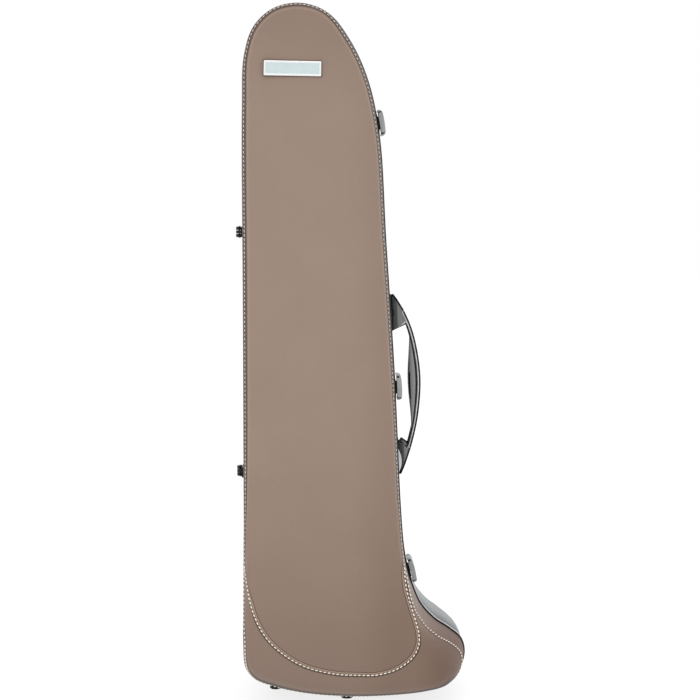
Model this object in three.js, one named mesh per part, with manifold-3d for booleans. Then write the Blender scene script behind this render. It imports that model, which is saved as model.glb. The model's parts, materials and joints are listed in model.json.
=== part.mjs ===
// Hard case for a tenor trombone, standing on its bell end, in millimetres.
// +Z is up, the lid faces -Y and the hinges are on the -X side. The parting plane is Y = 0,
// the straight hinge side is X = 0 and the floor is Z = 0 until the last lines centre the case.

import * as THREE from 'three';
import { mergeVertices } from 'three/addons/utils/BufferGeometryUtils.js';
import Module from 'manifold-3d';

const wasm = await Module();
wasm.setup();

// Overall sizes
const caseHeight = 938;
const caseWidth = 303;
const footHeight = 8;
const lidNeckDepth = 66;
const lidBellDepth = 116;
const baseNeckDepth = 76;
const baseBellDepth = 148;

// Walls, clearances and the rim
const shellWall = 3;
const liningThickness = 12;
const liningGap = 0.4;
const fitGap = 0.3;
const partingGap = 0.3;
const rimHeight = 4;
const rimProud = 2;
const sealWidth = 3;
const sealHeight = 3.8;
const cutOverrun = 4;

// Sides and steps of round shapes
const pinSides = 8;
const barSides = 12;
const foamSides = 20;
const wellSides = 40;
const cornerSteps = 2;
const latchEndSteps = 4;
const latchCrownSteps = 4;
const clipEndSteps = 5;
const handleOuterSteps = 14;
const handleInnerSteps = 9;
const searchSteps = 30;

// Shape of the two shells
const lidCrown = 5;
const baseCrown = 4;
const bellyDrop = 12;
const baseEdgeInset = 10;
const faceFollowShare = 0.75;
const lidFlareShares = { start: 0.31, end: 0.122 };
const baseFlareShares = { start: 0.36, end: 0.13, wallPower: 4.2 };
const bellyShare = 0.12;
const spineShares = { topX: 0.3, topZ: 0.9, bottomX: 0.44, bottomZ: 0.13 };

// Stations round the case, from the middle of the bottom, up the hinge side, over the top and down
// the latch side: rim x and z, front panel x and z, as shares of the case's width and height,
// and how square the lid's wall is between the two.
const stationShares = [
  [0.492, 0.000, 0.492, 0.046, 3.1],
  [0.279, 0.004, 0.321, 0.052, 3.0],
  [0.125, 0.013, 0.197, 0.072, 2.8],
  [0.044, 0.025, 0.120, 0.091, 3.2],
  [0.008, 0.043, 0.066, 0.120, 3.8],
  [0.000, 0.074, 0.038, 0.156, 4.2],
  [0.000, 0.138, 0.028, 0.196, 4.0],
  [0.000, 0.228, 0.028, 0.252, 3.8],
  [0.000, 0.330, 0.030, 0.338, 3.6],
  [0.000, 0.600, 0.030, 0.600, 3.4],
  [0.000, 0.851, 0.030, 0.851, 3.4],
  [0.010, 0.928, 0.039, 0.923, 3.4],
  [0.052, 0.967, 0.079, 0.960, 3.4],
  [0.138, 0.992, 0.151, 0.983, 3.4],
  [0.259, 1.000, 0.259, 0.990, 3.4],
  [0.379, 0.987, 0.360, 0.979, 3.4],
  [0.478, 0.947, 0.451, 0.941, 3.4],
  [0.556, 0.891, 0.529, 0.887, 3.4],
  [0.607, 0.812, 0.578, 0.810, 3.4],
  [0.637, 0.660, 0.609, 0.660, 3.4],
  [0.676, 0.468, 0.648, 0.468, 3.4],
  [0.706, 0.266, 0.688, 0.271, 3.4],
  [0.723, 0.204, 0.708, 0.211, 3.2],
  [0.748, 0.166, 0.731, 0.176, 2.6],
  [0.797, 0.126, 0.754, 0.141, 1.7],
  [0.862, 0.102, 0.772, 0.120, 1.35],
  [0.931, 0.087, 0.781, 0.106, 1.3],
  [0.984, 0.072, 0.783, 0.095, 1.4],
  [1.000, 0.053, 0.779, 0.083, 1.7],
  [0.981, 0.030, 0.759, 0.072, 2.3],
  [0.925, 0.014, 0.715, 0.060, 2.9],
  [0.820, 0.006, 0.656, 0.053, 3.1],
  [0.672, 0.002, 0.580, 0.047, 3.2],
];
const rimColumn = 0;
const faceColumn = 2;
const powerColumn = 4;
const topStation = 14;
const flareStation = 25;
const samplesPerStation = 2;
const wallSteps = 6;
const innerWallSteps = 3;
const faceRingShares = [0.4, 0.8];

// Hinges
const hingeHeightShares = { upper: 0.673, lower: 0.322 };
const hingeLength = 14;
const hingeLeafDepth = 20;
const hingeLeafOverRim = 1;
const hingeKnuckleRadius = 4.2;
const hingeKnuckleGap = 0.35;
const hingePinRadius = 1.5;
const hingePinClearance = 0.2;
const hingePinHeadRadius = 2.4;
const hingePinHeadHeight = 0.8;
const hingeAxisGap = 0.4;
const hingeAxisOut = rimProud + hingeKnuckleRadius + hingeAxisGap;

// Latches
const latchHeightShares = { upper: 0.83, middle: 0.446, lower: 0.174 };
const latchWidth = 35;
const latchProud = 10.8;
const latchShellThickness = 2.2;
const latchLidReach = 16;
const latchPinSetback = 17;
const latchPinOut = 5.9;
const latchPinRadius = 1.5;
const latchPinClearance = 0.2;
const latchTail = 2;
const latchCheekFoot = 3.2;
const latchEyeRadius = 3;
const latchCornerRadius = 4;
const latchEndRadius = 5;
const latchCrown = 0.6;
const latchPlateThickness = 2.2;
const latchPlateFront = 6;
const latchPlateBack = 24;
const latchPlateWidth = 31;
const latchLugWidth = 12;
const latchLugRadius = 2.3;
const hookPivotSetback = 5;
const hookBarrelRadius = 2.2;
const hookTrunnionRadius = 1.2;
const hookThickness = 1.8;
const hookWidth = 18;
const hookReach = 12;
const keeperWidth = 24;
const keeperFront = 16;
const keeperBack = 5;
const keeperLipTop = 3.7;
const keeperLipFront = 9;
const keeperLipBack = 6;
const latchLipGap = 0.6;

// Carrying handle
const handleHeightShare = 0.4445;
const handleLength = 262;
const handleBow = 37;
const handleSetback = 46;
const handleStrapThickness = 4.5;
const handleStrapWidth = 20;
const handleGripWidth = 25;
const handleGripStand = 20;
const handlePivotOut = 8;
const handleBarrelRadius = 4.6;
const handlePinRadius = 1.8;
const handlePinClearance = 0.25;
const handleBracketThickness = 3;
const handleBracketLength = 52;
const handleBracketWidth = 22;
const handlePinHalfLength = 18;
const handleLugLength = 8;
const handleLugGap = 0.5;
const handleBowShares = [
  [0, 0.05],
  [0.09, 0.32],
  [0.2, 0.6],
  [0.34, 0.85],
  [0.54, 1],
  [0.75, 0.84],
  [0.86, 0.6],
  [0.94, 0.32],
  [1, 0.05],
];
const handleEarShares = { lowerEnd: 0.02, lowerTop: 0.2, upperBottom: 0.79, upperEnd: 0.98 };
const handleEarSlantShare = 0.035;
const handleGripShares = { bottom: 0.24, top: 0.76, swellPower: 0.6 };
const handlePivotShares = { upper: 0.885, lower: 0.115 };

// Name plate and feet
const plateWidth = 78;
const plateHeight = 21.5;
const plateThickness = 1.2;
const plateCornerRadius = 1.5;
const platePlaceShares = { x: 0.228, z: 0.905, turn: 0.02 };
const footRadius = 8.3;
const footFlare = 1.2;
const footStock = 34;
const footSides = 16;
const footPlaceShares = {
  foot_left: [0.136, 0.097],
  foot_right: [0.859, 0.097],
  foot_rear: [0.492, 0.6],
  foot_front: [0.465, -0.31],
};

// Foam inside
const bellRadius = 102;
const bellClearance = 2;
const bellSetback = 12;
const bellPlaceShare = 0.492;
const cradleHeight = 40;
const bellCradleTop = 64;
const bellPlugRadius = 45;
const bellPlugTopRadius = 30;
const bellPlugSides = 28;
const bellPlugBottom = 27;
const bellPlugTop = 74;
const plugFootHalfWidth = 28;
const plugFootFront = 4;
const plugFootBack = 40;
const neckTubeX = 47;
const stemTubeX = 132;
const neckTubeRadius = 12;
const stemTubeRadius = 17;
const neckCradleFront = 22;
const neckCradleShares = { lower: 0.429, upper: 0.685 };
const bowRestShare = 0.834;
const bowRestHeight = 48;
const bowRestRadius = 52;
const mouthpieceRadius = 13;
const mouthpieceSpacing = 34;
const mouthpieceShare = 0.557;
const mouthpieceDepth = 22;
const mouthpieceBlockWidth = 50;
const mouthpieceBlockHeight = 74;
const slideTubeSpacing = 86;
const slideTubeRadius = 9;
const slideCentreX = 100;
const slideCradleRear = 20;
const slideCradleShares = { lower: 0.46, upper: 0.738 };
const slideBowShare = 0.864;
const slideBowHeight = 40;
const clipLength = 100;
const clipWidth = 14;
const clipThickness = 3;
const clipPinRadius = 3;
const clipPinHeadRadius = 5;
const clipPinHeadHeight = 1.6;
const clipPinDepth = 10;

// Accessory tray
const trayLeft = 24;
const trayWidth = 66;
const trayPlaceShare = 0.242;
const trayHeight = 130;
const trayFront = 33;
const trayBack = 56;
const trayWall = 2.5;
const trayLidThickness = 2.5;
const trayHingeRadius = 2;
const trayHingePinRadius = 0.9;
const trayKnuckleLength = 30;
const tabLength = 16;
const tabWidth = 14;
const tabThickness = 1.5;
const tabOverlap = 5;

// Materials
function finish(color, roughness, metalness = 0) {
  return new THREE.MeshStandardMaterial({ color, roughness, metalness });
}
const taupeLeather = finish(0x9c8577, 0.55);
const greyLeather = finish(0x8d9191, 0.5);
const blackPlastic = finish(0x1b1b1c, 0.5);
const blackRubber = finish(0x161616, 0.9);
const plush = finish(0x2b2a2d, 1);
const satinMetal = finish(0xa7a9a8, 0.35, 1);
const steel = finish(0xc9cbcc, 0.3, 1);
const plateMetal = finish(0xdfe3e4, 0.25, 1);
const handleLeather = finish(0x5c5f5f, 0.6);

// Scene tree
const group = new THREE.Group();
const assembly = new THREE.Group();
group.add(assembly);

function addMesh(parent, name, solid, material) {
  const mesh = new THREE.Mesh(toGeometry(solid), material);
  mesh.name = name;
  parent.add(mesh);
}

function addFrame(name, x, y, z, turn = 0) {
  const frame = new THREE.Group();
  frame.name = name;
  frame.position.set(x, y, z);
  frame.rotation.y = turn;
  assembly.add(frame);
  frame.updateMatrixWorld(true);
  return frame;
}

// Solids: closed meshes for cutting and joining
function toSolid(geometry) {
  const bare = geometry.index ? geometry.clone() : geometry;
  bare.deleteAttribute('normal');
  bare.deleteAttribute('uv');
  const merged = mergeVertices(bare);
  const mesh = new wasm.Mesh({
    numProp: 3,
    vertProperties: new Float32Array(merged.attributes.position.array),
    triVerts: new Uint32Array(merged.index.array),
  });
  return new wasm.Manifold(mesh);
}

function toGeometry(solid) {
  const mesh = solid.getMesh();
  const geometry = new THREE.BufferGeometry();
  geometry.setAttribute('position', new THREE.BufferAttribute(mesh.vertProperties, 3));
  geometry.setIndex(new THREE.BufferAttribute(mesh.triVerts, 1));
  geometry.computeVertexNormals();
  return geometry;
}

// A stretch of an axis is a pair of places: its low end and its high end
function around(middle, half) {
  return [middle - half, middle + half];
}

function between(a, b) {
  return [Math.min(a, b), Math.max(a, b)];
}

function middleOf([low, high]) {
  return (low + high) / 2;
}

function boxSolid(xs, ys, zs) {
  const box = new THREE.BoxGeometry(xs[1] - xs[0], ys[1] - ys[0], zs[1] - zs[0]);
  box.translate(middleOf(xs), middleOf(ys), middleOf(zs));
  return toSolid(box);
}

// A round bar along Z
function barSolid(radius, x, y, zs, sides = barSides) {
  const bar = new THREE.CylinderGeometry(radius, radius, zs[1] - zs[0], sides);
  bar.rotateX(Math.PI / 2);
  bar.translate(x, y, middleOf(zs));
  return toSolid(bar);
}

// A round bar along Y
function crossBarSolid(radius, x, z, ys, sides = barSides) {
  const bar = new THREE.CylinderGeometry(radius, radius, ys[1] - ys[0], sides);
  bar.translate(x, middleOf(ys), z);
  return toSolid(bar);
}

const alongX = new THREE.Vector3(1, 0, 0);
const alongY = new THREE.Vector3(0, 1, 0);
const alongZ = new THREE.Vector3(0, 0, 1);

// A plate with round corners that lies on the edge of the case, its thickness along X
function edgePlateSolid(xs, ys, zs, radius) {
  const [y0, y1] = ys;
  const [z0, z1] = zs;
  const shape = new THREE.Shape();
  shape.moveTo(y0 + radius, z0);
  shape.lineTo(y1 - radius, z0);
  shape.absarc(y1 - radius, z0 + radius, radius, -Math.PI / 2, 0);
  shape.lineTo(y1, z1 - radius);
  shape.absarc(y1 - radius, z1 - radius, radius, 0, Math.PI / 2);
  shape.lineTo(y0 + radius, z1);
  shape.absarc(y0 + radius, z1 - radius, radius, Math.PI / 2, Math.PI);
  shape.lineTo(y0, z0 + radius);
  shape.absarc(y0 + radius, z0 + radius, radius, Math.PI, 1.5 * Math.PI);
  const options = { depth: xs[1] - xs[0], bevelEnabled: false, curveSegments: cornerSteps };
  const plate = new THREE.ExtrudeGeometry(shape, options);
  plate.applyMatrix4(new THREE.Matrix4().makeBasis(alongY, alongZ, alongX));
  plate.translate(xs[0], 0, 0);
  return toSolid(plate);
}

// An outline in X and Z, extruded along Y
function sideSolid(points, ys) {
  const shape = new THREE.Shape(points);
  const slab = new THREE.ExtrudeGeometry(shape, { depth: ys[1] - ys[0], bevelEnabled: false });
  slab.applyMatrix4(new THREE.Matrix4().makeBasis(alongX, alongZ, alongY.clone().negate()));
  slab.translate(0, ys[1], 0);
  return toSolid(slab);
}

// The last place between two bounds where a test that holds at the low one still holds
function lastPlace(low, high, holds) {
  let near = low;
  let far = high;
  for (let i = 0; i < searchSteps; i += 1) {
    const middle = (near + far) / 2;
    if (holds(middle)) {
      near = middle;
    } else {
      far = middle;
    }
  }
  return near;
}

function heightAt(share) {
  return footHeight + share * caseHeight;
}

// Outlines of the rim and of the front panel
function stationCurve(column) {
  const points = stationShares.map((row) => {
    return new THREE.Vector3(row[column] * caseWidth, 0, heightAt(row[column + 1]));
  });
  return new THREE.CatmullRomCurve3(points, true, 'centripetal');
}

const rimCurve = stationCurve(rimColumn);
const faceCurve = stationCurve(faceColumn);
const stationCount = stationShares.length;
const sampleCount = stationCount * samplesPerStation;

function inwardNormal(curve, t) {
  const tangent = curve.getTangent(t);
  return new THREE.Vector3(tangent.z, 0, -tangent.x).normalize();
}

function lidWallPower(t) {
  const place = t * stationCount;
  const first = Math.floor(place);
  const [from, to] = [first, (first + 1) % stationCount].map((row) => stationShares[row][powerColumn]);
  return THREE.MathUtils.lerp(from, to, place - first);
}

const samples = [];
for (let i = 0; i < sampleCount; i += 1) {
  const t = i / sampleCount;
  samples.push({
    rim: rimCurve.getPoint(t),
    rimInward: inwardNormal(rimCurve, t),
    face: faceCurve.getPoint(t),
    faceInward: inwardNormal(faceCurve, t),
    power: lidWallPower(t),
  });
}

// The lid and the base are the same outline with other depths
const lidSide = {
  sign: -1,
  neck: lidNeckDepth,
  bell: lidBellDepth,
  crown: lidCrown,
  inset: 0,
  flareShares: lidFlareShares,
};
const baseSide = {
  sign: 1,
  neck: baseNeckDepth,
  bell: baseBellDepth,
  crown: baseCrown,
  inset: baseEdgeInset,
  flareShares: baseFlareShares,
};

function faceDepth(side, z) {
  const share = (z - footHeight) / caseHeight;
  const narrow = THREE.MathUtils.smoothstep(share, side.flareShares.end, side.flareShares.start);
  const belly = Math.max(0, bellyShare - share) / bellyShare;
  return side.bell - (side.bell - side.neck) * narrow - bellyDrop * belly * belly;
}

const wallStart = partingGap + rimHeight + fitGap;

function rimRing(offset, y) {
  return samples.map((s) => s.rim.clone().addScaledVector(s.rimInward, offset).setY(y));
}

function faceEdge(side, s, offset) {
  return s.face.clone().addScaledVector(s.faceInward, side.inset + offset * faceFollowShare);
}

// A ring of the wall at an angle from 0 at the rim to a right angle at the face
function wallRing(side, offset, angle) {
  return samples.map((s) => {
    const power = side === lidSide ? s.power : baseFlareShares.wallPower;
    const rim = s.rim.clone().addScaledVector(s.rimInward, offset);
    const face = faceEdge(side, s, offset);
    const depth = faceDepth(side, face.z) - offset;
    const rise = Math.sin(angle) ** (2 / power);
    const point = face.clone().lerp(rim, Math.max(Math.cos(angle), 0) ** (2 / power));
    return point.setY(side.sign * (wallStart + (depth - wallStart) * rise));
  });
}

// A ring of the face, drawn in from its edge towards the spine
function faceRing(side, offset, share) {
  const top = heightAt(spineShares.topZ);
  const bottom = heightAt(spineShares.bottomZ);
  return samples.map((s) => {
    const edge = faceEdge(side, s, offset);
    const spineZ = THREE.MathUtils.clamp(edge.z, bottom, top);
    const along = (spineZ - bottom) / (top - bottom);
    const spineX = THREE.MathUtils.lerp(spineShares.bottomX, spineShares.topX, along) * caseWidth;
    const point = edge.clone().lerp(new THREE.Vector3(spineX, 0, spineZ), share);
    const crown = side.crown * share * (2 - share);
    return point.setY(side.sign * (faceDepth(side, point.z) + crown - offset));
  });
}

function surfaceRings(side, offset, steps) {
  const rings = [];
  for (let k = 0; k <= steps; k += 1) {
    rings.push(wallRing(side, offset, (k / steps) * Math.PI / 2));
  }
  for (const share of faceRingShares) {
    rings.push(faceRing(side, offset, share));
  }
  return rings;
}

// Faces across a ring, laced from the bottom to the top between its hinge side and its latch side
function capFaces(ring, offset, isFirst) {
  const index = [];
  let left = 0;
  let right = ring.length - 1;
  while (left + 1 < right) {
    const a = offset + left;
    const b = offset + right;
    const climbLeft = ring[left + 1].z < ring[right - 1].z;
    left += climbLeft ? 1 : 0;
    right -= climbLeft ? 0 : 1;
    const c = offset + (climbLeft ? left : right);
    index.push(...(isFirst ? [a, b, c] : [a, c, b]));
  }
  return index;
}

function signedVolume(positions, index) {
  const a = new THREE.Vector3();
  const b = new THREE.Vector3();
  const c = new THREE.Vector3();
  let volume = 0;
  for (let i = 0; i < index.length; i += 3) {
    a.fromArray(positions, index[i] * 3);
    b.fromArray(positions, index[i + 1] * 3);
    c.fromArray(positions, index[i + 2] * 3);
    volume += a.dot(b.cross(c));
  }
  return volume;
}

// Joins rings into a closed solid, capped at the first and last ring unless the last joins the first.
// Strips before the turn run backwards, so that surfaces that lie on each other fold the same way.
function ringSolid(rings, closed = false, turn = 0) {
  const positions = rings.flat().flatMap((point) => [point.x, point.y, point.z]);
  const index = [];
  const strips = closed ? rings.length : rings.length - 1;
  for (let k = 0; k < strips; k += 1) {
    const first = k * sampleCount;
    const next = ((k + 1) % rings.length) * sampleCount;
    for (let i = 0; i < sampleCount; i += 1) {
      const j = (i + 1) % sampleCount;
      if (k < turn) {
        index.push(first + i, first + j, next + i, first + j, next + j, next + i);
      } else {
        index.push(first + i, first + j, next + j, first + i, next + j, next + i);
      }
    }
  }
  if (!closed) {
    index.push(...capFaces(rings[0], 0, true));
    index.push(...capFaces(rings.at(-1), (rings.length - 1) * sampleCount, false));
  }
  if (signedVolume(positions, index) < 0) {
    index.reverse();
  }
  const geometry = new THREE.BufferGeometry();
  geometry.setAttribute('position', new THREE.Float32BufferAttribute(positions, 3));
  geometry.setIndex(index);
  return toSolid(geometry);
}

// A thin tub that follows the case between two offsets from its outer surface
function tubSolid(side, outerOffset, innerOffset, outerSteps) {
  const outer = surfaceRings(side, outerOffset, outerSteps);
  const inner = surfaceRings(side, innerOffset, innerWallSteps);
  return ringSolid([...outer.reverse(), ...inner], false, outer.length - 1);
}

// Everything inside one offset, from the parting plane to the face
function filledSolid(side, offset) {
  return ringSolid([rimRing(offset, 0), ...surfaceRings(side, offset, innerWallSteps)]);
}

// The outside of one half with its rim, grown by the fit gap, which seats what is fastened to it
function envelopeSolid(side) {
  const rimOffset = -rimProud - fitGap;
  return ringSolid([
    rimRing(rimOffset, 0),
    rimRing(rimOffset, side.sign * wallStart),
    ...surfaceRings(side, -fitGap, wallSteps),
  ]);
}

const baseEnvelope = envelopeSolid(baseSide);
const lidEnvelope = envelopeSolid(lidSide);
const liningOffset = shellWall + liningGap;
const cavityOffset = liningOffset + liningThickness;
const baseCavity = filledSolid(baseSide, cavityOffset + fitGap);
const lidCavity = filledSolid(lidSide, cavityOffset + fitGap);

function seatedOn(envelope, solid, frame) {
  const inverse = frame.matrixWorld.clone().invert();
  return solid.subtract(envelope.transform(inverse.elements));
}

// Shells and linings
function addShells() {
  for (const [half, side, leather] of [['base', baseSide, greyLeather], ['lid', lidSide, taupeLeather]]) {
    const shell = tubSolid(side, 0, shellWall, wallSteps);
    const lining = tubSolid(side, liningOffset, cavityOffset, innerWallSteps);
    addMesh(assembly, `${half}_shell`, shell, leather);
    addMesh(assembly, `${half}_lining`, lining, plush);
  }
}

// Rims of both halves and the seal between them
function bandSolid(outer, inner, yNear, yFar) {
  const rings = [rimRing(outer, yNear), rimRing(outer, yFar), rimRing(inner, yFar), rimRing(inner, yNear)];
  return ringSolid(rings, true);
}

function addRims() {
  const far = partingGap + rimHeight;
  const sealOuter = shellWall + fitGap;
  addMesh(assembly, 'base_rim', bandSolid(-rimProud, shellWall, partingGap, far), satinMetal);
  addMesh(assembly, 'lid_rim', bandSolid(-rimProud, shellWall, -partingGap, -far), blackPlastic);
  const seal = bandSolid(sealOuter, sealOuter + sealWidth, far - sealHeight, far);
  addMesh(assembly, 'rim_seal', seal, blackRubber);
}

// Hinges on the straight side, with their axis along Z outside the rim
function hingeHalfSolid(sign, knuckles, gaps) {
  const half = hingeLength / 2;
  const leafOuter = hingeAxisOut - rimProud - fitGap - hingeLeafOverRim;
  const leafYs = between(sign * hingeKnuckleGap, sign * hingeLeafDepth);
  const webYs = between(sign * hingeKnuckleGap, sign * hingeKnuckleRadius);
  let solid = boxSolid([leafOuter, hingeAxisOut + cutOverrun], leafYs, [-half, half]);
  for (const zs of gaps) {
    solid = solid.subtract(barSolid(hingeKnuckleRadius + fitGap, 0, 0, zs));
  }
  for (const zs of knuckles) {
    solid = solid.add(barSolid(hingeKnuckleRadius, 0, 0, zs));
    solid = solid.add(boxSolid([0, leafOuter + hingeLeafOverRim], webYs, zs));
  }
  return solid.subtract(barSolid(hingePinRadius + hingePinClearance, 0, 0, around(0, half + cutOverrun)));
}

function addHinge(name, heightShare) {
  const frame = addFrame(`hinge_${name}`, -hingeAxisOut, 0, heightAt(heightShare));
  const half = hingeLength / 2;
  const knuckleEnd = hingeLength / 6;
  const outside = knuckleEnd + hingeKnuckleGap;
  const inside = knuckleEnd - hingeKnuckleGap;

  const fork = hingeHalfSolid(1, [[-half, -outside], [outside, half]], [[-outside, outside]]);
  addMesh(frame, `hinge_${name}_fork`, seatedOn(baseEnvelope, fork, frame), blackPlastic);

  const over = half + cutOverrun;
  const leaf = hingeHalfSolid(-1, [[-inside, inside]], [[-over, -inside], [inside, over]]);
  addMesh(frame, `hinge_${name}_leaf`, seatedOn(lidEnvelope, leaf, frame), blackPlastic);

  const headStart = half + fitGap;
  const headEnd = headStart + hingePinHeadHeight;
  const pin = barSolid(hingePinRadius, 0, 0, around(0, headEnd), pinSides)
    .add(barSolid(hingePinHeadRadius, 0, 0, [headStart, headEnd]))
    .add(barSolid(hingePinHeadRadius, 0, 0, [-headEnd, -headStart]));
  addMesh(frame, `hinge_${name}_pin`, pin, steel);
}

// The latch edge of the rim at a height, as a place and the turn of its outward normal
function latchEdge(z) {
  const t = lastPlace(topStation / stationCount, flareStation / stationCount, (place) => {
    return rimCurve.getPoint(place).z > z;
  });
  const outward = inwardNormal(rimCurve, t).negate();
  return { x: rimCurve.getPoint(t).x, turn: Math.atan2(-outward.z, outward.x) };
}

// Latches on the other side, in a frame whose X is outward and whose Z runs along the edge
const latchHalf = latchWidth / 2;
const latchPinBore = latchPinRadius + latchPinClearance;

// The lever as the lid's side shows it: round outer corners and a slightly crowned back
function latchProfileSolid(ys) {
  const backX = latchProud - latchCrown;
  const cornerX = backX - latchEndRadius;
  const cornerZ = latchHalf - latchEndRadius;
  const corner = (sign, turn) => new THREE.Vector2(
    cornerX + latchEndRadius * Math.cos(turn), sign * (cornerZ + latchEndRadius * Math.sin(turn)),
  );
  const outline = [new THREE.Vector2(0, latchHalf), new THREE.Vector2(0, -latchHalf)];
  for (let i = latchEndSteps; i > 0; i -= 1) {
    outline.push(corner(-1, (i / latchEndSteps) * Math.PI / 2));
  }
  for (let i = 0; i <= latchCrownSteps; i += 1) {
    const along = 2 * i / latchCrownSteps - 1;
    outline.push(new THREE.Vector2(backX + latchCrown * (1 - along * along), along * cornerZ));
  }
  for (let i = 1; i <= latchEndSteps; i += 1) {
    outline.push(corner(1, (i / latchEndSteps) * Math.PI / 2));
  }
  return sideSolid(outline, ys);
}

function latchLeverSolid() {
  const shellInner = latchProud - latchShellThickness;
  const joined = shellInner + latchShellThickness / 2;
  const front = -latchLidReach;
  const through = around(0, latchHalf + cutOverrun);
  const ys = [front, latchPinSetback + latchTail];
  let lever = edgePlateSolid([shellInner, latchProud], ys, around(0, latchHalf), latchCornerRadius);
  lever = lever.add(boxSolid(
    [keeperLipTop + latchLipGap, joined], [front, front + latchShellThickness],
    around(0, latchHalf - latchCornerRadius),
  ));
  for (const sign of [-1, 1]) {
    const cheek = between(sign * latchHalf, sign * (latchHalf - latchShellThickness));
    const cheekYs = [front + latchCornerRadius, latchPinSetback];
    lever = lever.add(boxSolid([latchCheekFoot, joined], cheekYs, cheek));
    lever = lever.add(barSolid(latchEyeRadius, latchPinOut, latchPinSetback, cheek));
  }
  lever = lever.subtract(barSolid(latchPinBore, latchPinOut, latchPinSetback, through));
  lever = lever.intersect(latchProfileSolid([front - cutOverrun, latchPinSetback + latchTail + cutOverrun]));
  return lever.subtract(barSolid(
    hookTrunnionRadius + latchPinClearance, latchPinOut, hookPivotSetback, through, pinSides,
  ));
}

function latchPlateSolid() {
  const lug = around(0, latchLugWidth / 2);
  const plate = edgePlateSolid(
    [-cutOverrun, latchPlateThickness],
    [latchPlateFront, latchPlateBack],
    around(0, latchPlateWidth / 2),
    latchPlateThickness,
  );
  return plate
    .add(barSolid(latchLugRadius, latchPinOut, latchPinSetback, lug))
    .add(boxSolid([0, latchPinOut], around(latchPinSetback, latchLugRadius), lug))
    .subtract(barSolid(latchPinBore, latchPinOut, latchPinSetback, around(0, latchHalf)));
}

function latchHookSolid() {
  const barrel = around(0, latchHalf - latchShellThickness - fitGap);
  return barSolid(hookBarrelRadius, latchPinOut, hookPivotSetback, barrel, pinSides)
    .add(barSolid(hookTrunnionRadius, latchPinOut, hookPivotSetback, around(0, latchHalf), pinSides))
    .add(boxSolid(
      [latchPinOut - hookThickness, latchPinOut],
      [-hookReach, hookPivotSetback],
      around(0, hookWidth / 2),
    ));
}

function latchKeeperSolid() {
  const plate = edgePlateSolid(
    [-cutOverrun, latchPlateThickness],
    [-keeperFront, -keeperBack],
    around(0, keeperWidth / 2),
    latchPlateThickness,
  );
  return plate.add(boxSolid([0, keeperLipTop], [-keeperLipFront, -keeperLipBack], around(0, hookWidth / 2)));
}

function addLatch(name, heightShare) {
  const z = heightAt(heightShare);
  const edge = latchEdge(z);
  const frame = addFrame(`latch_${name}`, edge.x, 0, z, edge.turn);
  const pin = barSolid(latchPinRadius, latchPinOut, latchPinSetback, around(0, latchHalf), pinSides);
  addMesh(frame, `latch_${name}_lever`, latchLeverSolid(), satinMetal);
  addMesh(frame, `latch_${name}_plate`, seatedOn(baseEnvelope, latchPlateSolid(), frame), satinMetal);
  addMesh(frame, `latch_${name}_pin`, pin, steel);
  addMesh(frame, `latch_${name}_hook`, latchHookSolid(), steel);
  addMesh(frame, `latch_${name}_keeper`, seatedOn(lidEnvelope, latchKeeperSolid(), frame), satinMetal);
}

// Carrying handle on the base, in a frame at the foot of its bow with X outward and Z along the edge
const handleCurve = new THREE.CatmullRomCurve3(
  handleBowShares.map(([along, out]) => new THREE.Vector3(out * handleBow, 0, along * handleLength)),
  false,
  'centripetal',
);

function handleOuter(z) {
  const t = lastPlace(0, 1, (place) => handleCurve.getPoint(place).z < z);
  return handleCurve.getPoint(t).x;
}

function handleRun(fromShare, toShare, steps, inset) {
  const points = [];
  for (let i = 0; i <= steps; i += 1) {
    const z = THREE.MathUtils.lerp(fromShare, toShare, i / steps) * handleLength;
    points.push(new THREE.Vector2(handleOuter(z) - inset, z));
  }
  return points;
}

function handleStrapSolid() {
  const ear = handleEarShares;
  const foot = handlePivotOut - handleBarrelRadius;
  const innerTop = ear.upperBottom + handleEarSlantShare;
  const innerBottom = ear.lowerTop - handleEarSlantShare;
  const outline = [
    ...handleRun(ear.lowerEnd, ear.upperEnd, handleOuterSteps, 0),
    new THREE.Vector2(foot, ear.upperEnd * handleLength),
    new THREE.Vector2(foot, ear.upperBottom * handleLength),
    ...handleRun(innerTop, innerBottom, handleInnerSteps, handleStrapThickness),
    new THREE.Vector2(foot, ear.lowerTop * handleLength),
    new THREE.Vector2(foot, ear.lowerEnd * handleLength),
  ];
  const whole = [0, handleLength];
  const wideFrom = handlePivotOut + handleBarrelRadius / 2;
  const root = around(0, handleBarrelRadius);
  const section = boxSolid([wideFrom, handleBow + cutOverrun], around(0, handleStrapWidth), whole)
    .add(boxSolid([handlePivotOut, wideFrom + cutOverrun], root, whole))
    .add(barSolid(handleBarrelRadius, handlePivotOut, 0, whole));
  let strap = sideSolid(outline, around(0, handleStrapWidth / 2)).intersect(section);
  const clear = handleBarrelRadius + handleLugGap;
  for (const share of Object.values(handlePivotShares)) {
    const slot = around(share * handleLength, handleLugLength / 2 + handleLugGap);
    strap = strap.subtract(barSolid(clear, handlePivotOut, 0, slot));
    strap = strap.subtract(boxSolid([0, handlePivotOut], around(0, clear), slot));
  }
  return strap.subtract(barSolid(handlePinRadius + handlePinClearance, handlePivotOut, 0, whole, pinSides));
}

function handleGripSolid() {
  const { bottom, top } = handleGripShares;
  const inset = handleStrapThickness + fitGap;
  const outer = handleRun(bottom, top, handleOuterSteps, inset);
  const inner = outer.slice(1, -1).reverse().map((point) => {
    const along = (point.y / handleLength - bottom) / (top - bottom);
    const swell = Math.sin(along * Math.PI) ** handleGripShares.swellPower;
    return new THREE.Vector2(THREE.MathUtils.lerp(point.x, handleGripStand, swell), point.y);
  });
  return sideSolid([...outer, ...inner], around(0, handleGripWidth / 2));
}

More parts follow.
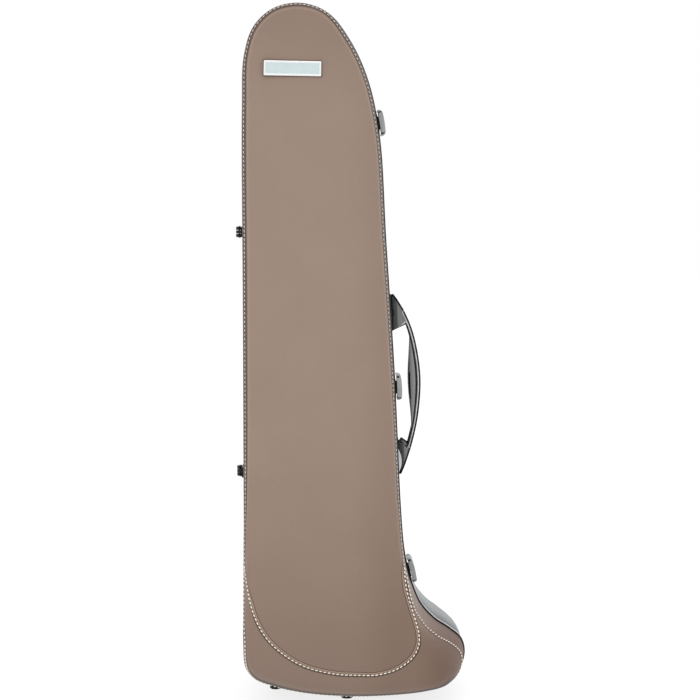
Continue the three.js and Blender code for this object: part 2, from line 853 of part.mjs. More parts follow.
function handleBracketSolid(z) {
  const zs = around(z, handleBracketLength / 2);
  const lug = around(z, handleLugLength / 2);
  const halfWidth = handleBracketWidth / 2;
  return edgePlateSolid([-cutOverrun, handleBracketThickness], around(0, halfWidth), zs, halfWidth)
    .add(barSolid(handleBarrelRadius, handlePivotOut, 0, lug))
    .add(boxSolid([0, handlePivotOut], around(0, handleBarrelRadius), lug))
    .subtract(barSolid(handlePinRadius + handlePinClearance, handlePivotOut, 0, zs, pinSides));
}

function addHandle() {
  const middle = heightAt(handleHeightShare);
  const edge = latchEdge(middle);
  const frame = addFrame('handle', edge.x, handleSetback, middle, edge.turn);
  const lowEnd = -handleLength / 2;
  addMesh(frame, 'handle_strap', handleStrapSolid().translate([0, 0, lowEnd]), handleLeather);
  addMesh(frame, 'handle_grip', handleGripSolid().translate([0, 0, lowEnd]), handleLeather);
  for (const [name, share] of Object.entries(handlePivotShares)) {
    const z = lowEnd + share * handleLength;
    const pin = barSolid(handlePinRadius, handlePivotOut, 0, around(z, handlePinHalfLength), pinSides);
    const bracket = seatedOn(baseEnvelope, handleBracketSolid(z), frame);
    addMesh(frame, `handle_${name}_bracket`, bracket, satinMetal);
    addMesh(frame, `handle_${name}_pin`, pin, steel);
  }
}

// Bare plate on the front panel
function addNamePlate() {
  const z = heightAt(platePlaceShares.z);
  const y = -faceDepth(lidSide, z);
  const frame = addFrame('name_plate_frame', platePlaceShares.x * caseWidth, y, z, platePlaceShares.turn);
  const centreX = plateWidth / 2 - plateCornerRadius;
  const centreZ = plateHeight / 2 - plateCornerRadius;
  const outline = [];
  for (const [signX, signZ, quarter] of [[1, -1, -1], [1, 1, 0], [-1, 1, 1], [-1, -1, 2]]) {
    for (let i = 0; i <= cornerSteps; i += 1) {
      const angle = (quarter + i / cornerSteps) * Math.PI / 2;
      outline.push(new THREE.Vector2(
        signX * centreX + plateCornerRadius * Math.cos(angle),
        signZ * centreZ + plateCornerRadius * Math.sin(angle),
      ));
    }
  }
  const plate = sideSolid(outline, [-lidCrown - plateThickness, cutOverrun]);
  addMesh(frame, 'name_plate', seatedOn(lidEnvelope, plate, frame), plateMetal);
}

// Rubber feet, cut to the bottom of the half that carries them
function addFeet() {
  const profile = [
    new THREE.Vector2(0, 0),
    new THREE.Vector2(footRadius - footFlare, 0),
    new THREE.Vector2(footRadius, footFlare),
    new THREE.Vector2(footRadius, footStock),
    new THREE.Vector2(0, footStock),
  ];
  for (const [name, [xShare, yShare]] of Object.entries(footPlaceShares)) {
    const side = yShare < 0 ? lidSide : baseSide;
    const frame = addFrame(`${name}_frame`, xShare * caseWidth, yShare * side.bell, 0);
    const foot = new THREE.LatheGeometry(profile, footSides);
    foot.rotateX(Math.PI / 2);
    const envelope = side === lidSide ? lidEnvelope : baseEnvelope;
    addMesh(frame, name, seatedOn(envelope, toSolid(foot), frame), blackRubber);
  }
}

// Foam blocks: a box cut to the cavity of the half that carries it
function foamBlock(cavity, xs, ys, zs) {
  return boxSolid(xs, ys, zs).intersect(cavity);
}

const acrossCase = [0, caseWidth];

function addBellSupports() {
  const bellX = bellPlaceShare * caseWidth;
  const upTo = [0, bellCradleTop];
  const wellZs = [0, bellCradleTop + cutOverrun];
  const well = barSolid(bellRadius + bellClearance, bellX, bellSetback, wellZs, wellSides);
  const cradle = foamBlock(baseCavity, acrossCase, [wallStart, baseBellDepth], upTo);
  const pad = foamBlock(lidCavity, acrossCase, [-lidBellDepth, -wallStart], upTo);
  addMesh(assembly, 'bell_cradle', cradle.subtract(well), plush);
  addMesh(assembly, 'bell_pad', pad.subtract(well), plush);

  const profile = [
    new THREE.Vector2(0, bellPlugBottom),
    new THREE.Vector2(bellPlugRadius, bellPlugBottom),
    new THREE.Vector2(bellPlugTopRadius, bellPlugTop),
    new THREE.Vector2(0, bellPlugTop),
  ];
  const cone = new THREE.LatheGeometry(profile, bellPlugSides);
  cone.rotateX(Math.PI / 2);
  cone.translate(bellX, bellSetback, 0);
  const footZs = [0, bellPlugBottom + fitGap];
  const foot = foamBlock(baseCavity, around(bellX, plugFootHalfWidth), [plugFootFront, plugFootBack], footZs);
  addMesh(assembly, 'bell_plug', toSolid(cone).add(foot), plush);
}

function addNeckCradles() {
  const ys = [neckCradleFront, baseBellDepth];
  for (const [name, share] of Object.entries(neckCradleShares)) {
    const z = heightAt(share);
    const cutZs = [z - cutOverrun, z + cradleHeight + cutOverrun];
    let cradle = foamBlock(baseCavity, acrossCase, ys, [z, z + cradleHeight]);
    for (const [x, radius] of [[neckTubeX, neckTubeRadius], [stemTubeX, stemTubeRadius]]) {
      cradle = cradle.subtract(barSolid(radius, x, neckCradleFront + radius / 2, cutZs, foamSides));
    }
    addMesh(assembly, `neck_cradle_${name}`, cradle, plush);
  }
  const bowX = (neckTubeX + stemTubeX) / 2;
  const bowZ = heightAt(bowRestShare);
  const bowYs = [neckCradleFront - cutOverrun, neckCradleFront + stemTubeRadius];
  const rest = foamBlock(baseCavity, acrossCase, ys, [bowZ, bowZ + bowRestHeight]);
  const bow = crossBarSolid(bowRestRadius, bowX, bowZ, bowYs, wellSides);
  addMesh(assembly, 'bow_rest', rest.subtract(bow), plush);
}

function addMouthpieceBlock() {
  const x = (neckTubeX + neckTubeRadius + stemTubeX - stemTubeRadius) / 2;
  const z = heightAt(mouthpieceShare);
  const xs = around(x, mouthpieceBlockWidth / 2);
  const zs = around(z, mouthpieceBlockHeight / 2);
  const boreYs = [neckCradleFront - cutOverrun, neckCradleFront + mouthpieceDepth];
  let block = foamBlock(baseCavity, xs, [neckCradleFront, baseBellDepth], zs);
  for (const boreZ of around(z, mouthpieceSpacing / 2)) {
    block = block.subtract(crossBarSolid(mouthpieceRadius, x, boreZ, boreYs, foamSides));
  }
  addMesh(assembly, 'mouthpiece_block', block, plush);
}

function addSlideCradles() {
  const ys = [-lidBellDepth, -slideCradleRear];
  const half = slideTubeSpacing / 2;
  const pinBottom = -slideCradleRear - clipPinDepth;
  const boreYs = [pinBottom - fitGap, cutOverrun - slideCradleRear];
  for (const [name, share] of Object.entries(slideCradleShares)) {
    const z = heightAt(share);
    const middle = z + cradleHeight / 2;
    const cutZs = [z - cutOverrun, z + cradleHeight + cutOverrun];
    let cradle = foamBlock(lidCavity, acrossCase, ys, [z, z + cradleHeight]);
    for (const x of around(slideCentreX, half)) {
      const y = -slideCradleRear - slideTubeRadius / 2;
      cradle = cradle.subtract(barSolid(slideTubeRadius, x, y, cutZs, foamSides));
    }
    cradle = cradle.subtract(crossBarSolid(clipPinRadius + fitGap, slideCentreX, middle, boreYs));
    addMesh(assembly, `slide_cradle_${name}`, cradle, plush);
    addSlideClip(name, middle, pinBottom);
  }
  const bowZ = heightAt(slideBowShare);
  const bowYs = [-slideCradleRear - 2 * slideTubeRadius, cutOverrun - slideCradleRear];
  const rest = foamBlock(lidCavity, acrossCase, ys, [bowZ, bowZ + slideBowHeight]);
  const bow = crossBarSolid(half + slideTubeRadius, slideCentreX, bowZ - half / 2, bowYs, wellSides);
  addMesh(assembly, 'slide_bow_rest', rest.subtract(bow), plush);
}

// A turn button that keeps the slide in its saddles, stored along the case
function addSlideClip(name, z, pinBottom) {
  const frame = addFrame(`slide_clip_${name}_frame`, slideCentreX, 0, z);
  const bottom = fitGap - slideCradleRear;
  const top = bottom + clipThickness;
  const endRadius = clipWidth / 2;
  const outline = [];
  for (const sign of [1, -1]) {
    const centreZ = sign * (clipLength / 2 - endRadius);
    for (let i = 0; i <= clipEndSteps; i += 1) {
      const angle = (i / clipEndSteps) * Math.PI;
      const x = sign * Math.cos(angle) * endRadius;
      outline.push(new THREE.Vector2(x, centreZ + sign * Math.sin(angle) * endRadius));
    }
  }
  const hole = crossBarSolid(clipPinRadius + fitGap, 0, 0, [bottom - cutOverrun, top + cutOverrun]);
  const clip = sideSolid(outline, [bottom, top]).subtract(hole);
  addMesh(frame, `slide_clip_${name}`, clip, blackPlastic);
  const head = [top + fitGap, top + fitGap + clipPinHeadHeight];
  const pin = crossBarSolid(clipPinRadius, 0, 0, [pinBottom, head[1]])
    .add(crossBarSolid(clipPinHeadRadius, 0, 0, head));
  addMesh(frame, `slide_clip_${name}_pin`, pin, steel);
}

// Accessory tray in the base, in a frame at the front lower corner of its hinge side
function trayBoxSolid(seat, knuckles, axisX, axisY) {
  const hollow = boxSolid(
    [trayWall, trayWidth - trayWall], [-cutOverrun, trayBack - trayFront - trayWall],
    [trayWall, trayHeight - trayWall],
  );
  let box = boxSolid([0, trayWidth], [0, baseBellDepth], [0, trayHeight]).intersect(seat).subtract(hollow);
  for (const zs of knuckles) {
    box = box.add(barSolid(trayHingeRadius, axisX, axisY, zs));
    box = box.add(boxSolid([0, 2 * trayHingeRadius], [axisY, trayWall / 2], zs));
  }
  const whole = [-cutOverrun, trayHeight + cutOverrun];
  return box.subtract(barSolid(trayHingePinRadius + fitGap / 2, axisX, axisY, whole, pinSides));
}

function trayLidSolid(knuckle, hingeSpan, axisX, axisY, lidYs) {
  const clear = trayHingeRadius + fitGap;
  const web = [axisX, axisX + clear + trayWall];
  const notch = [hingeSpan[0] - fitGap, hingeSpan[1] + fitGap];
  return boxSolid([axisX, trayWidth], lidYs, [0, trayHeight])
    .subtract(boxSolid(around(axisX, clear), around(axisY, clear), notch))
    .add(barSolid(trayHingeRadius, axisX, axisY, knuckle))
    .add(boxSolid(web, around(axisY, trayLidThickness / 2), knuckle))
    .add(barSolid(trayHingePinRadius, axisX, axisY, hingeSpan, pinSides));
}

function addTray() {
  const frame = addFrame('tray', trayLeft, trayFront, heightAt(trayPlaceShare));
  const seat = baseCavity.transform(frame.matrixWorld.clone().invert().elements);
  const axisX = trayHingeRadius;
  const axisY = -fitGap - trayHingeRadius;
  const middle = trayHeight / 2;
  const near = trayKnuckleLength / 2;
  const knuckle = around(middle, near);
  const hingeSpan = around(middle, trayKnuckleLength);
  const boxKnuckles = [[hingeSpan[0], knuckle[0] - fitGap], [knuckle[1] + fitGap, hingeSpan[1]]];
  const lidBack = axisY + trayLidThickness / 2;
  const lidFront = lidBack - trayLidThickness;
  addMesh(frame, 'accessory_box', trayBoxSolid(seat, boxKnuckles, axisX, axisY), blackPlastic);
  addMesh(frame, 'accessory_lid', trayLidSolid(knuckle, hingeSpan, axisX, axisY, [lidFront, lidBack]), plush);

  const tabStart = trayWidth - tabOverlap;
  const tabBack = lidFront - fitGap;
  const tab = boxSolid(
    [tabStart, tabStart + tabLength], [tabBack - tabThickness, tabBack], around(middle, tabWidth / 2),
  );
  addMesh(frame, 'accessory_tab', tab, handleLeather);
}

addShells();
addRims();
for (const [name, share] of Object.entries(hingeHeightShares)) {
  addHinge(name, share);
}
for (const [name, share] of Object.entries(latchHeightShares)) {
  addLatch(name, share);
}
addHandle();
addNamePlate();
addFeet();
addBellSupports();
addNeckCradles();
addMouthpieceBlock();
addSlideCradles();
addTray();

// The origin goes to the middle of the footprint, on the floor
group.updateMatrixWorld(true);
const bounds = new THREE.Box3().setFromObject(assembly);
const centre = bounds.getCenter(new THREE.Vector3());
assembly.position.set(-centre.x, -centre.y, -bounds.min.z);
group.updateMatrixWorld(true);

export default group;
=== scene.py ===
# Hard trombone case standing on its bell end, dressed around its frame, in metres.
# +Z is up, the lid faces -Y and the hinges are on the -X side.

import json
import math

import bmesh
import bpy
import numpy as np
from mathutils import Matrix, Vector
from mathutils.geometry import tessellate_polygon


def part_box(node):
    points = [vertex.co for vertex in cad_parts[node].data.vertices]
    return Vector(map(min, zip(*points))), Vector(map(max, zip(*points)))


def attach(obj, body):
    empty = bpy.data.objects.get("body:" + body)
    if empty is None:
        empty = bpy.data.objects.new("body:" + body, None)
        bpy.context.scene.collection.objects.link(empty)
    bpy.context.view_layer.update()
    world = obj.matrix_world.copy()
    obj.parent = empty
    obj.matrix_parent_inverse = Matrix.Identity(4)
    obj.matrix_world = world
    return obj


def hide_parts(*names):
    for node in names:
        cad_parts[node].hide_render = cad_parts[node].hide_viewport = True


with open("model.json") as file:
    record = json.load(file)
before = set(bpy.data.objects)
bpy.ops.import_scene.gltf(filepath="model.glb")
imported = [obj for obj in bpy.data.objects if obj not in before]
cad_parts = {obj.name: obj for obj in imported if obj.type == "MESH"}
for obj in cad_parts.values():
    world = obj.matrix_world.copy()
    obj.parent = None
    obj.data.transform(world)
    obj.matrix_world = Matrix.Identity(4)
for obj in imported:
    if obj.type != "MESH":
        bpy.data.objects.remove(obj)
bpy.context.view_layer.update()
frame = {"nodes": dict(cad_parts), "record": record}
nodes = frame["nodes"]
body_of = {
    node: body
    for body, members in frame["record"]["behaviour"]["bodies"].items()
    for node in members
}

# Overall sizes
CASE_HEIGHT = 0.938
CASE_WIDTH = 0.303
FOOT_HEIGHT = 0.008
WALL_START = 0.0046
SHELL_WALL = 0.003
LINING_OFFSET = 0.0034
CAVITY_OFFSET = 0.0154
PARTING_GAP = 0.0003
RIM_HEIGHT = 0.004
RIM_PROUD = 0.002
BELLY_DROP = 0.012
BELLY_SHARE = 0.12
FACE_FOLLOW_SHARE = 0.75
SPINE_SHARES = [(0.44, 0.13), (0.3, 0.9)]

# Stations round the case, from the middle of the bottom, up the hinge side, over the top and down
# the latch side: rim x and z, front panel x and z, as shares of the case's width and height,
# and how square the lid's wall is between the two
STATION_SHARES = [
    (0.492, 0.000, 0.492, 0.046, 3.1),
    (0.279, 0.004, 0.321, 0.052, 3.0),
    (0.125, 0.013, 0.197, 0.072, 2.8),
    (0.044, 0.025, 0.120, 0.091, 3.2),
    (0.008, 0.043, 0.066, 0.120, 3.8),
    (0.000, 0.074, 0.038, 0.156, 4.2),
    (0.000, 0.138, 0.028, 0.196, 4.0),
    (0.000, 0.228, 0.028, 0.252, 3.8),
    (0.000, 0.330, 0.030, 0.338, 3.6),
    (0.000, 0.600, 0.030, 0.600, 3.4),
    (0.000, 0.851, 0.030, 0.851, 3.4),
    (0.010, 0.928, 0.039, 0.923, 3.4),
    (0.052, 0.967, 0.079, 0.960, 3.4),
    (0.138, 0.992, 0.151, 0.983, 3.4),
    (0.259, 1.000, 0.259, 0.990, 3.4),
    (0.379, 0.987, 0.360, 0.979, 3.4),
    (0.478, 0.947, 0.451, 0.941, 3.4),
    (0.556, 0.891, 0.529, 0.887, 3.4),
    (0.607, 0.812, 0.578, 0.810, 3.4),
    (0.637, 0.660, 0.609, 0.660, 3.4),
    (0.676, 0.468, 0.648, 0.468, 3.4),
    (0.706, 0.266, 0.688, 0.271, 3.4),
    (0.723, 0.204, 0.708, 0.211, 3.2),
    (0.748, 0.166, 0.731, 0.176, 2.6),
    (0.797, 0.126, 0.754, 0.141, 1.7),
    (0.862, 0.102, 0.772, 0.120, 1.35),
    (0.931, 0.087, 0.781, 0.106, 1.3),
    (0.984, 0.072, 0.783, 0.095, 1.4),
    (1.000, 0.053, 0.779, 0.083, 1.7),
    (0.981, 0.030, 0.759, 0.072, 2.3),
    (0.925, 0.014, 0.715, 0.060, 2.9),
    (0.820, 0.006, 0.656, 0.053, 3.1),
    (0.672, 0.002, 0.580, 0.047, 3.2),
]

# Stitched seam round the front panel, x and z as shares of the case's width and height. Above the
# waist it lies outside the case, and the seam follows the wall at PANEL_SEAM_ANGLES instead, which
# give its angle in degrees at each station.
PANEL_SEAM_SHARES = [
    (0.523, 0.0446), (0.413, 0.0465), (0.259, 0.0605), (0.125, 0.094), (0.059, 0.131), (0.020, 0.181),
    (0.007, 0.204), (-0.03, 0.26), (-0.2, 0.5), (-0.2, 1.2), (1.1, 1.2), (1.1, 0.5), (0.75, 0.28),
    (0.718, 0.213), (0.720, 0.196), (0.728, 0.169), (0.743, 0.151), (0.756, 0.137), (0.771, 0.121),
    (0.783, 0.104), (0.781, 0.088), (0.752, 0.070), (0.682, 0.053), (0.594, 0.0448),
]
PANEL_SEAM_ANGLES = [(0, 69), (14, 69), (16, 63), (18, 57), (20.5, 57), (22, 69), (33, 69)]
SEAM_BLEND = 0.003

# Second seam, which leaves the first one on the hinge side, runs under the bell and climbs the flare
# back to it: station and distance from the rim
LID_BAND_PLACES = [
    (0, 0.074), (1, 0.074), (2, 0.068), (3, 0.078), (3.5, 0.087), (4, 0.0985), (4.3, 0.109), (4.6, 0.117),
    (5, 0.1155), (5.5, 0.1082), (6, 0.0985), (6.4, 0.0885), (6.8, 0.2),
    (21.2, 0.2), (21.5, 0.080), (22, 0.084), (22.6, 0.0940), (23.1, 0.1020), (23.5, 0.1070), (23.7, 0.1072),
    (23.9, 0.1045), (24.5, 0.0915), (25.5, 0.082), (26.4, 0.074), (27.2, 0.050), (27.7, 0.036), (28.2, 0.030),
    (28.7, 0.030), (29.2, 0.035), (30, 0.046), (31, 0.060), (32, 0.071), (33, 0.074),
]
BASE_BAND_PLACES = [
    (0, 0.030), (5, 0.030), (6, 0.045), (7, 0.2), (27.2, 0.2), (28.2, 0.110), (29, 0.055), (30, 0.035),
    (33, 0.030),
]

# Painted edge shade beside the seam on the wall: how strong it is at each station of a half, and its middle
# and half width from the seam
LID_EDGE_SHADE_PLACES = [(4.3, 0), (5.2, 1), (20.8, 1), (22, 0)]
BASE_EDGE_SHADE_PLACES = [(6.2, 0), (7.4, 1), (20.8, 1), (22, 0)]
EDGE_SHADE_MIDDLE = 0.0078
EDGE_SHADE_HALF = 0.0058

# How finely the surfaces are drawn: points to a station, rings up the wall and as many over the face, and
# how far the last one lies on the way to the spine
FRAME_SAMPLES = 2
SKIN_SAMPLES = 16
LINING_SAMPLES = 8
SEAM_SAMPLES = 12
SKIN_STEPS = 26
INNER_STEPS = 10
LINING_STEPS = 12
FACE_END_SHARE = 0.985

# Grooves and ridges beside a line of stitches: distance, half width, depth and darkness, which is painted
# shade in the grooves along with the joint's own dark colour, and below zero a painted highlight on the
# ridges
PANEL_GROOVES = [
    (-0.0021, 0.0007, 0.0011, 0.9),
    (0.0, 0.0010, 0.0005, 0.45),
    (0.0028, 0.0007, -0.0004, -0.6),
    (0.0042, 0.0005, 0.0006, 0.8),
]
WALL_GROOVES = [
    (-0.0021, 0.0007, 0.0011, 0.9),
    (0.0, 0.0014, 0.0005, 0.9),
    (0.0024, 0.0012, 0.0005, 0.75),
    (0.0052, 0.0010, -0.0003, -0.25),
]
BAND_GROOVES = [
    (0.0024, 0.0009, 0.0009, 0.95),
    (0.0, 0.0013, 0.0005, 0.8),
    (0.0040, 0.0007, -0.0003, -0.4),
    (0.0056, 0.0008, 0.0005, 0.8),
    (-0.0026, 0.0009, 0.0006, 0.75),
]

# Seams on the skin: how much wider they are on the wall, the half width of the fine rows at each, how far
# apart both show, the rows from the rim to the spine, and how often their distances are evened out
WALL_SPREAD = 0.2
SEAM_REACH = 0.0065
SEAM_PARTING = 0.002
SEAM_STEP = 0.002
SEAM_HALVINGS = 18
SKIN_ROWS = (8, 26, 14, 26, 26)
PANEL_TURNS = 3
SPREAD_TURNS = 12
BAND_TURNS = 8

# Stitches, and the rings of one: place along it, thickness and lift, and how thick they are on the wall
STITCH_LENGTH = 0.0042
STITCH_PITCH = 0.0058
STITCH_RADIUS = 0.0009
STITCH_SLANT = 0.12
STITCH_SIDES = 6
STITCH_RING_SHARES = [
    (-0.5, 0.3, -0.8), (-0.36, 0.85, 0.1), (0.0, 1.0, 0.45), (0.36, 0.85, 0.1), (0.5, 0.3, -0.8),
]
WALL_STITCH_SHARE = 0.5

# Camera: level with the upper part of the case, in front of the parting plane
CAMERA_DISTANCE = 2.7
CAMERA_HEIGHT = 0.700
CAMERA_SIDE = -0.0019
AIM_HEIGHT = 0.477
LENS = 101.3
SENSOR_WIDTH = 36

# Studio lights: place, size and power
STUDIO_LIGHTS = {
    "key_light": ((-1.6, -2.6, 2.4), (1.8, 1.8), 16),
    "fill_light": ((2.2, -1.8, 1.2), (1.5, 2.0), 5),
    "top_light": ((0.2, 0.3, 3.0), (2.0, 2.0), 12),
}

# The parting plane, half way between the two rims
lid_rim_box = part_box("lid_rim")
PARTING_Y = (lid_rim_box[1].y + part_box("base_rim")[0].y) / 2


def srgb(red, green, blue):
    """A colour given as screen values from 0 to 255, in the renderer's linear values."""
    linear = []
    for value in (red, green, blue):
        share = value / 255
        linear.append(share / 12.92 if share <= 0.04045 else ((share + 0.055) / 1.055) ** 2.4)
    return (*linear, 1.0)


def linked(name, data):
    """A new object in the scene."""
    made = bpy.data.objects.new(name, data)
    bpy.context.scene.collection.objects.link(made)
    return made


def aim(thing, place, target):
    thing.location = place
    thing.rotation_euler = (Vector(target) - thing.location).to_track_quat("-Z", "Y").to_euler()


# Camera and studio
def make_camera():
    data = bpy.data.cameras.new("camera")
    data.lens = LENS
    data.sensor_width = SENSOR_WIDTH
    camera = linked("camera", data)
    place = (CAMERA_SIDE, PARTING_Y - CAMERA_DISTANCE, CAMERA_HEIGHT)
    aim(camera, place, (CAMERA_SIDE, PARTING_Y, AIM_HEIGHT))
    bpy.context.scene.camera = camera


def make_area_light(name, place, size, power):
    data = bpy.data.lights.new(name, "AREA")
    data.shape = "RECTANGLE"
    data.size, data.size_y = size
    data.energy = power
    aim(linked(name, data), place, (0, 0, CASE_HEIGHT / 2))


def make_studio():
    scene = bpy.context.scene
    scene.view_settings.view_transform = "Standard"
    scene.world = bpy.data.worlds.new("studio")
    scene.world.use_nodes = True
    background = scene.world.node_tree.nodes["Background"]
    background.inputs["Color"].default_value = (1, 1, 1, 1)
    background.inputs["Strength"].default_value = 1.0
    for name, light in STUDIO_LIGHTS.items():
        make_area_light(name, *light)


# Materials
class Finish:
    """One material and the nodes of its detail, in metres on the piece itself."""

    def __init__(self, name, color, roughness, surface=None):
        self.material = bpy.data.materials.new(name)
        self.material.use_nodes = True
        self.tree = self.material.node_tree
        self.shader = self.tree.nodes["Principled BSDF"]
        self.color = color
        self.shader.inputs["Base Color"].default_value = color
        self.shader.inputs["Roughness"].default_value = roughness
        for socket, value in (surface or {}).items():
            self.shader.inputs[socket].default_value = value
        coordinates = self.add("TexCoord").outputs
        self.place = coordinates["Object"]
        self.normal = coordinates["Normal"]

    def add(self, kind, inputs=None, **settings):
        node = self.tree.nodes.new("ShaderNode" + kind)
        for key, value in settings.items():
            setattr(node, key, value)
        for key, value in (inputs or {}).items():
            self.feed(node.inputs[key], value)
        return node

    def feed(self, socket, value):
        if isinstance(value, bpy.types.NodeSocket):
            self.tree.links.new(value, socket)
        else:
            socket.default_value = value

    def stretched(self, scale):
        return self.add("Mapping", {"Vector": self.place, "Scale": scale}).outputs["Vector"]

    def noise(self, size, detail=2.0, place=None):
        inputs = {"Vector": place or self.place, "Scale": 1 / size, "Detail": detail}
        return self.add("TexNoise", inputs).outputs["Fac"]

    def pebbles(self, size):
        inputs = {"Vector": self.place, "Scale": 1 / size, "Randomness": 0.9}
        return self.add("TexVoronoi", inputs).outputs["Distance"]

    def ranged(self, value, low, high, start=0.0, end=1.0, blend="LINEAR"):
        inputs = {"Value": value, "From Min": low, "From Max": high, "To Min": start, "To Max": end}
        return self.add("MapRange", inputs, interpolation_type=blend).outputs["Result"]

    def faded(self, *values):
        """A range with soft ends."""
        return self.ranged(*values, blend="SMOOTHSTEP")

    def part(self, vector, axis):
        return self.add("SeparateXYZ", {"Vector": vector}).outputs[axis]

    def along(self, axis, values):
        """A range with soft ends along an axis of the piece."""
        return self.faded(self.part(self.place, axis), *values)

    def product(self, first, second):
        return self.add("Math", {0: first, 1: second}, operation="MULTIPLY").outputs[0]

    def sum(self, first, second, weight=1.0):
        inputs = {0: second, 1: weight, 2: first}
        return self.add("Math", inputs, operation="MULTIPLY_ADD").outputs[0]

    def mixed(self, share, first, second):
        node = self.add("Mix", data_type="RGBA")
        self.feed(node.inputs[0], share)
        self.feed(node.inputs[6], first)
        self.feed(node.inputs[7], second)
        return node.outputs[2]

    def attribute(self, name):
        return self.add("Attribute", attribute_name=name).outputs["Fac"]

    def toned(self, share, low, high):
        """The finish's own colour between two brightnesses."""
        return self.mixed(share, shaded(self.color, low), shaded(self.color, high))

    def paint(self, color):
        self.feed(self.shader.inputs["Base Color"], color)

    def rough(self, value, low, high):
        self.feed(self.shader.inputs["Roughness"], self.ranged(value, *NOISE_RANGE, low, high))

    def relief(self, height, depth, strength=1.0):
        inputs = {"Height": height, "Distance": depth, "Strength": strength}
        self.feed(self.shader.inputs["Normal"], self.add("Bump", inputs).outputs["Normal"])


# Which values of a texture count as its lowest and its highest
NOISE_RANGE = (0.3, 0.7)
STREAK_RANGE = (0.35, 0.65)
WEAR_RANGE = (0.3, 0.75)
PEBBLE_RANGE = (0.0, 0.75)
PIT_RANGE = (0.25, 0.75)

# Leather: sizes of its grain, wrinkles and mottles, and how bright they, its pits, the painted highlight on
# its creases and the painted shade under the case are
LEATHER_GRAIN = 0.0011
HANDLE_GRAIN = 0.0009
GRAIN_DEPTH = 0.00016
WRINKLE_SIZE = 0.035
MOTTLE_SIZE = 0.09
MOTTLE_TONES = (0.95, 1.04)
PIT_TONE = 0.80
PIT_STRENGTH = 0.5
CREASE_HIGHLIGHT_TONE = 1.5
UNDER_SHADE_TONE = 0.2

# Where painted shade darkens the leather: from and to where on its axis, and from and to how much
LID_TOP_SHADE = (0.78, 0.95, 0.0, 0.24)
LID_LOW_SHADE = (0.40, 0.06, 0.0, 0.34)
LID_LATCH_SHADE = (-0.01, 0.06, 0.0, 0.17)
LID_FLARE_SHADE = (0.075, 0.15, 0.0, 0.36)
LID_FLARE_HEIGHTS = (0.20, 0.11)
BASE_RIM_REACH = (0.075, 0.015)
BASE_BELL_SHADE = (0.34, 0.16, 0.3, 0.9)

# Painted shade under the case, on surfaces that look towards the floor: how far sideways and how far down
UNDER_SIDEWAYS = (0.60, 0.42)
UNDER_DOWN = (-0.32, -0.70, 0.0, 0.95)


def shaded(color, factor):
    return (color[0] * factor, color[1] * factor, color[2] * factor, 1.0)


def floor_shade(finish):
    """Painted shade where a wall turns under, towards the floor."""
    sideways = finish.add("Math", {0: finish.part(finish.normal, "Y")}, operation="ABSOLUTE").outputs[0]
    down = finish.faded(finish.part(finish.normal, "Z"), *UNDER_DOWN)
    return finish.product(finish.faded(sideways, *UNDER_SIDEWAYS), down)


def lid_shade(finish):
    """Painted shade on the lid's leather: darker to the top, low down, to the latch side and over the flare.
    """
    share = finish.sum(finish.along("Z", LID_TOP_SHADE), finish.along("Z", LID_LOW_SHADE))
    share = finish.sum(share, finish.along("X", LID_LATCH_SHADE))
    flare = finish.product(finish.along("X", LID_FLARE_SHADE), finish.along("Z", LID_FLARE_HEIGHTS))
    return finish.sum(share, flare)


def base_shade(finish):
    """Painted shade on the base's leather: darker towards the rim, most of all round the bell."""
    near_rim = finish.along("Y", [PARTING_Y + reach for reach in BASE_RIM_REACH])
    return finish.product(near_rim, finish.along("Z", BASE_BELL_SHADE))


def leather(name, color, grain, roughness, seam_shade_color=None, shade=None, painted_shade_color=None):
    """Fine pebbled leather with soft mottling, darker in its pits, with painted shade in its seams and
    painted highlight on its creases.
    """
    finish = Finish(name, color, roughness[0], {"Specular IOR Level": 0.3})
    pebble = finish.ranged(finish.pebbles(grain), *PEBBLE_RANGE, 1.0, 0.0)
    pores = finish.noise(grain / 3, 3.0)
    height = finish.sum(finish.sum(pebble, pores, 0.5), finish.noise(WRINKLE_SIZE, 3.0), 1.5)
    mottle = finish.ranged(finish.noise(MOTTLE_SIZE, 4.0), *NOISE_RANGE)
    pits = finish.product(finish.ranged(pebble, *PIT_RANGE, 1.0, 0.0), PIT_STRENGTH)
    tinted = finish.mixed(pits, finish.toned(mottle, *MOTTLE_TONES), shaded(color, PIT_TONE))
    if shade:
        # Painted shade over the places that the half's shade function gives
        tinted = finish.mixed(shade(finish), tinted, painted_shade_color)
        # Painted shade, darker still, where a wall turns under towards the floor
        tinted = finish.mixed(floor_shade(finish), tinted, shaded(painted_shade_color, UNDER_SHADE_TONE))
    if seam_shade_color:
        # Painted shade in the seams and grooves, and painted highlight on the creases where the seam value is
        # below zero
        seam = finish.attribute("seam")
        tinted = finish.mixed(seam, tinted, seam_shade_color)
        tinted = finish.mixed(finish.product(seam, -1.0), tinted, shaded(color, CREASE_HIGHLIGHT_TONE))
    finish.paint(tinted)
    finish.rough(pores, *roughness)
    finish.relief(height, GRAIN_DEPTH, 0.7)
    return finish.material


PILE_SIZE = 0.0009
PILE_DEPTH = 0.0006
PILE_TONES = (0.72, 1.3)
BRUSHED_SIZE = 0.018


def plush_finish(name, color):
    """Short pile that is brighter at grazing angles and uneven where it is brushed."""
    finish = Finish(name, color, 0.95, {"Sheen Weight": 0.5, "Sheen Roughness": 0.4})
    brushed = finish.ranged(finish.noise(BRUSHED_SIZE, 4.0), *STREAK_RANGE)
    finish.paint(finish.toned(brushed, *PILE_TONES))
    finish.relief(finish.sum(finish.noise(PILE_SIZE), brushed, 0.35), PILE_DEPTH, 0.9)
    return finish.material


LINE_SIZE = 0.004
LINE_DEPTH = 0.00004
LINE_TONES = (0.86, 1.06)
CLOUD_SIZE = 0.012


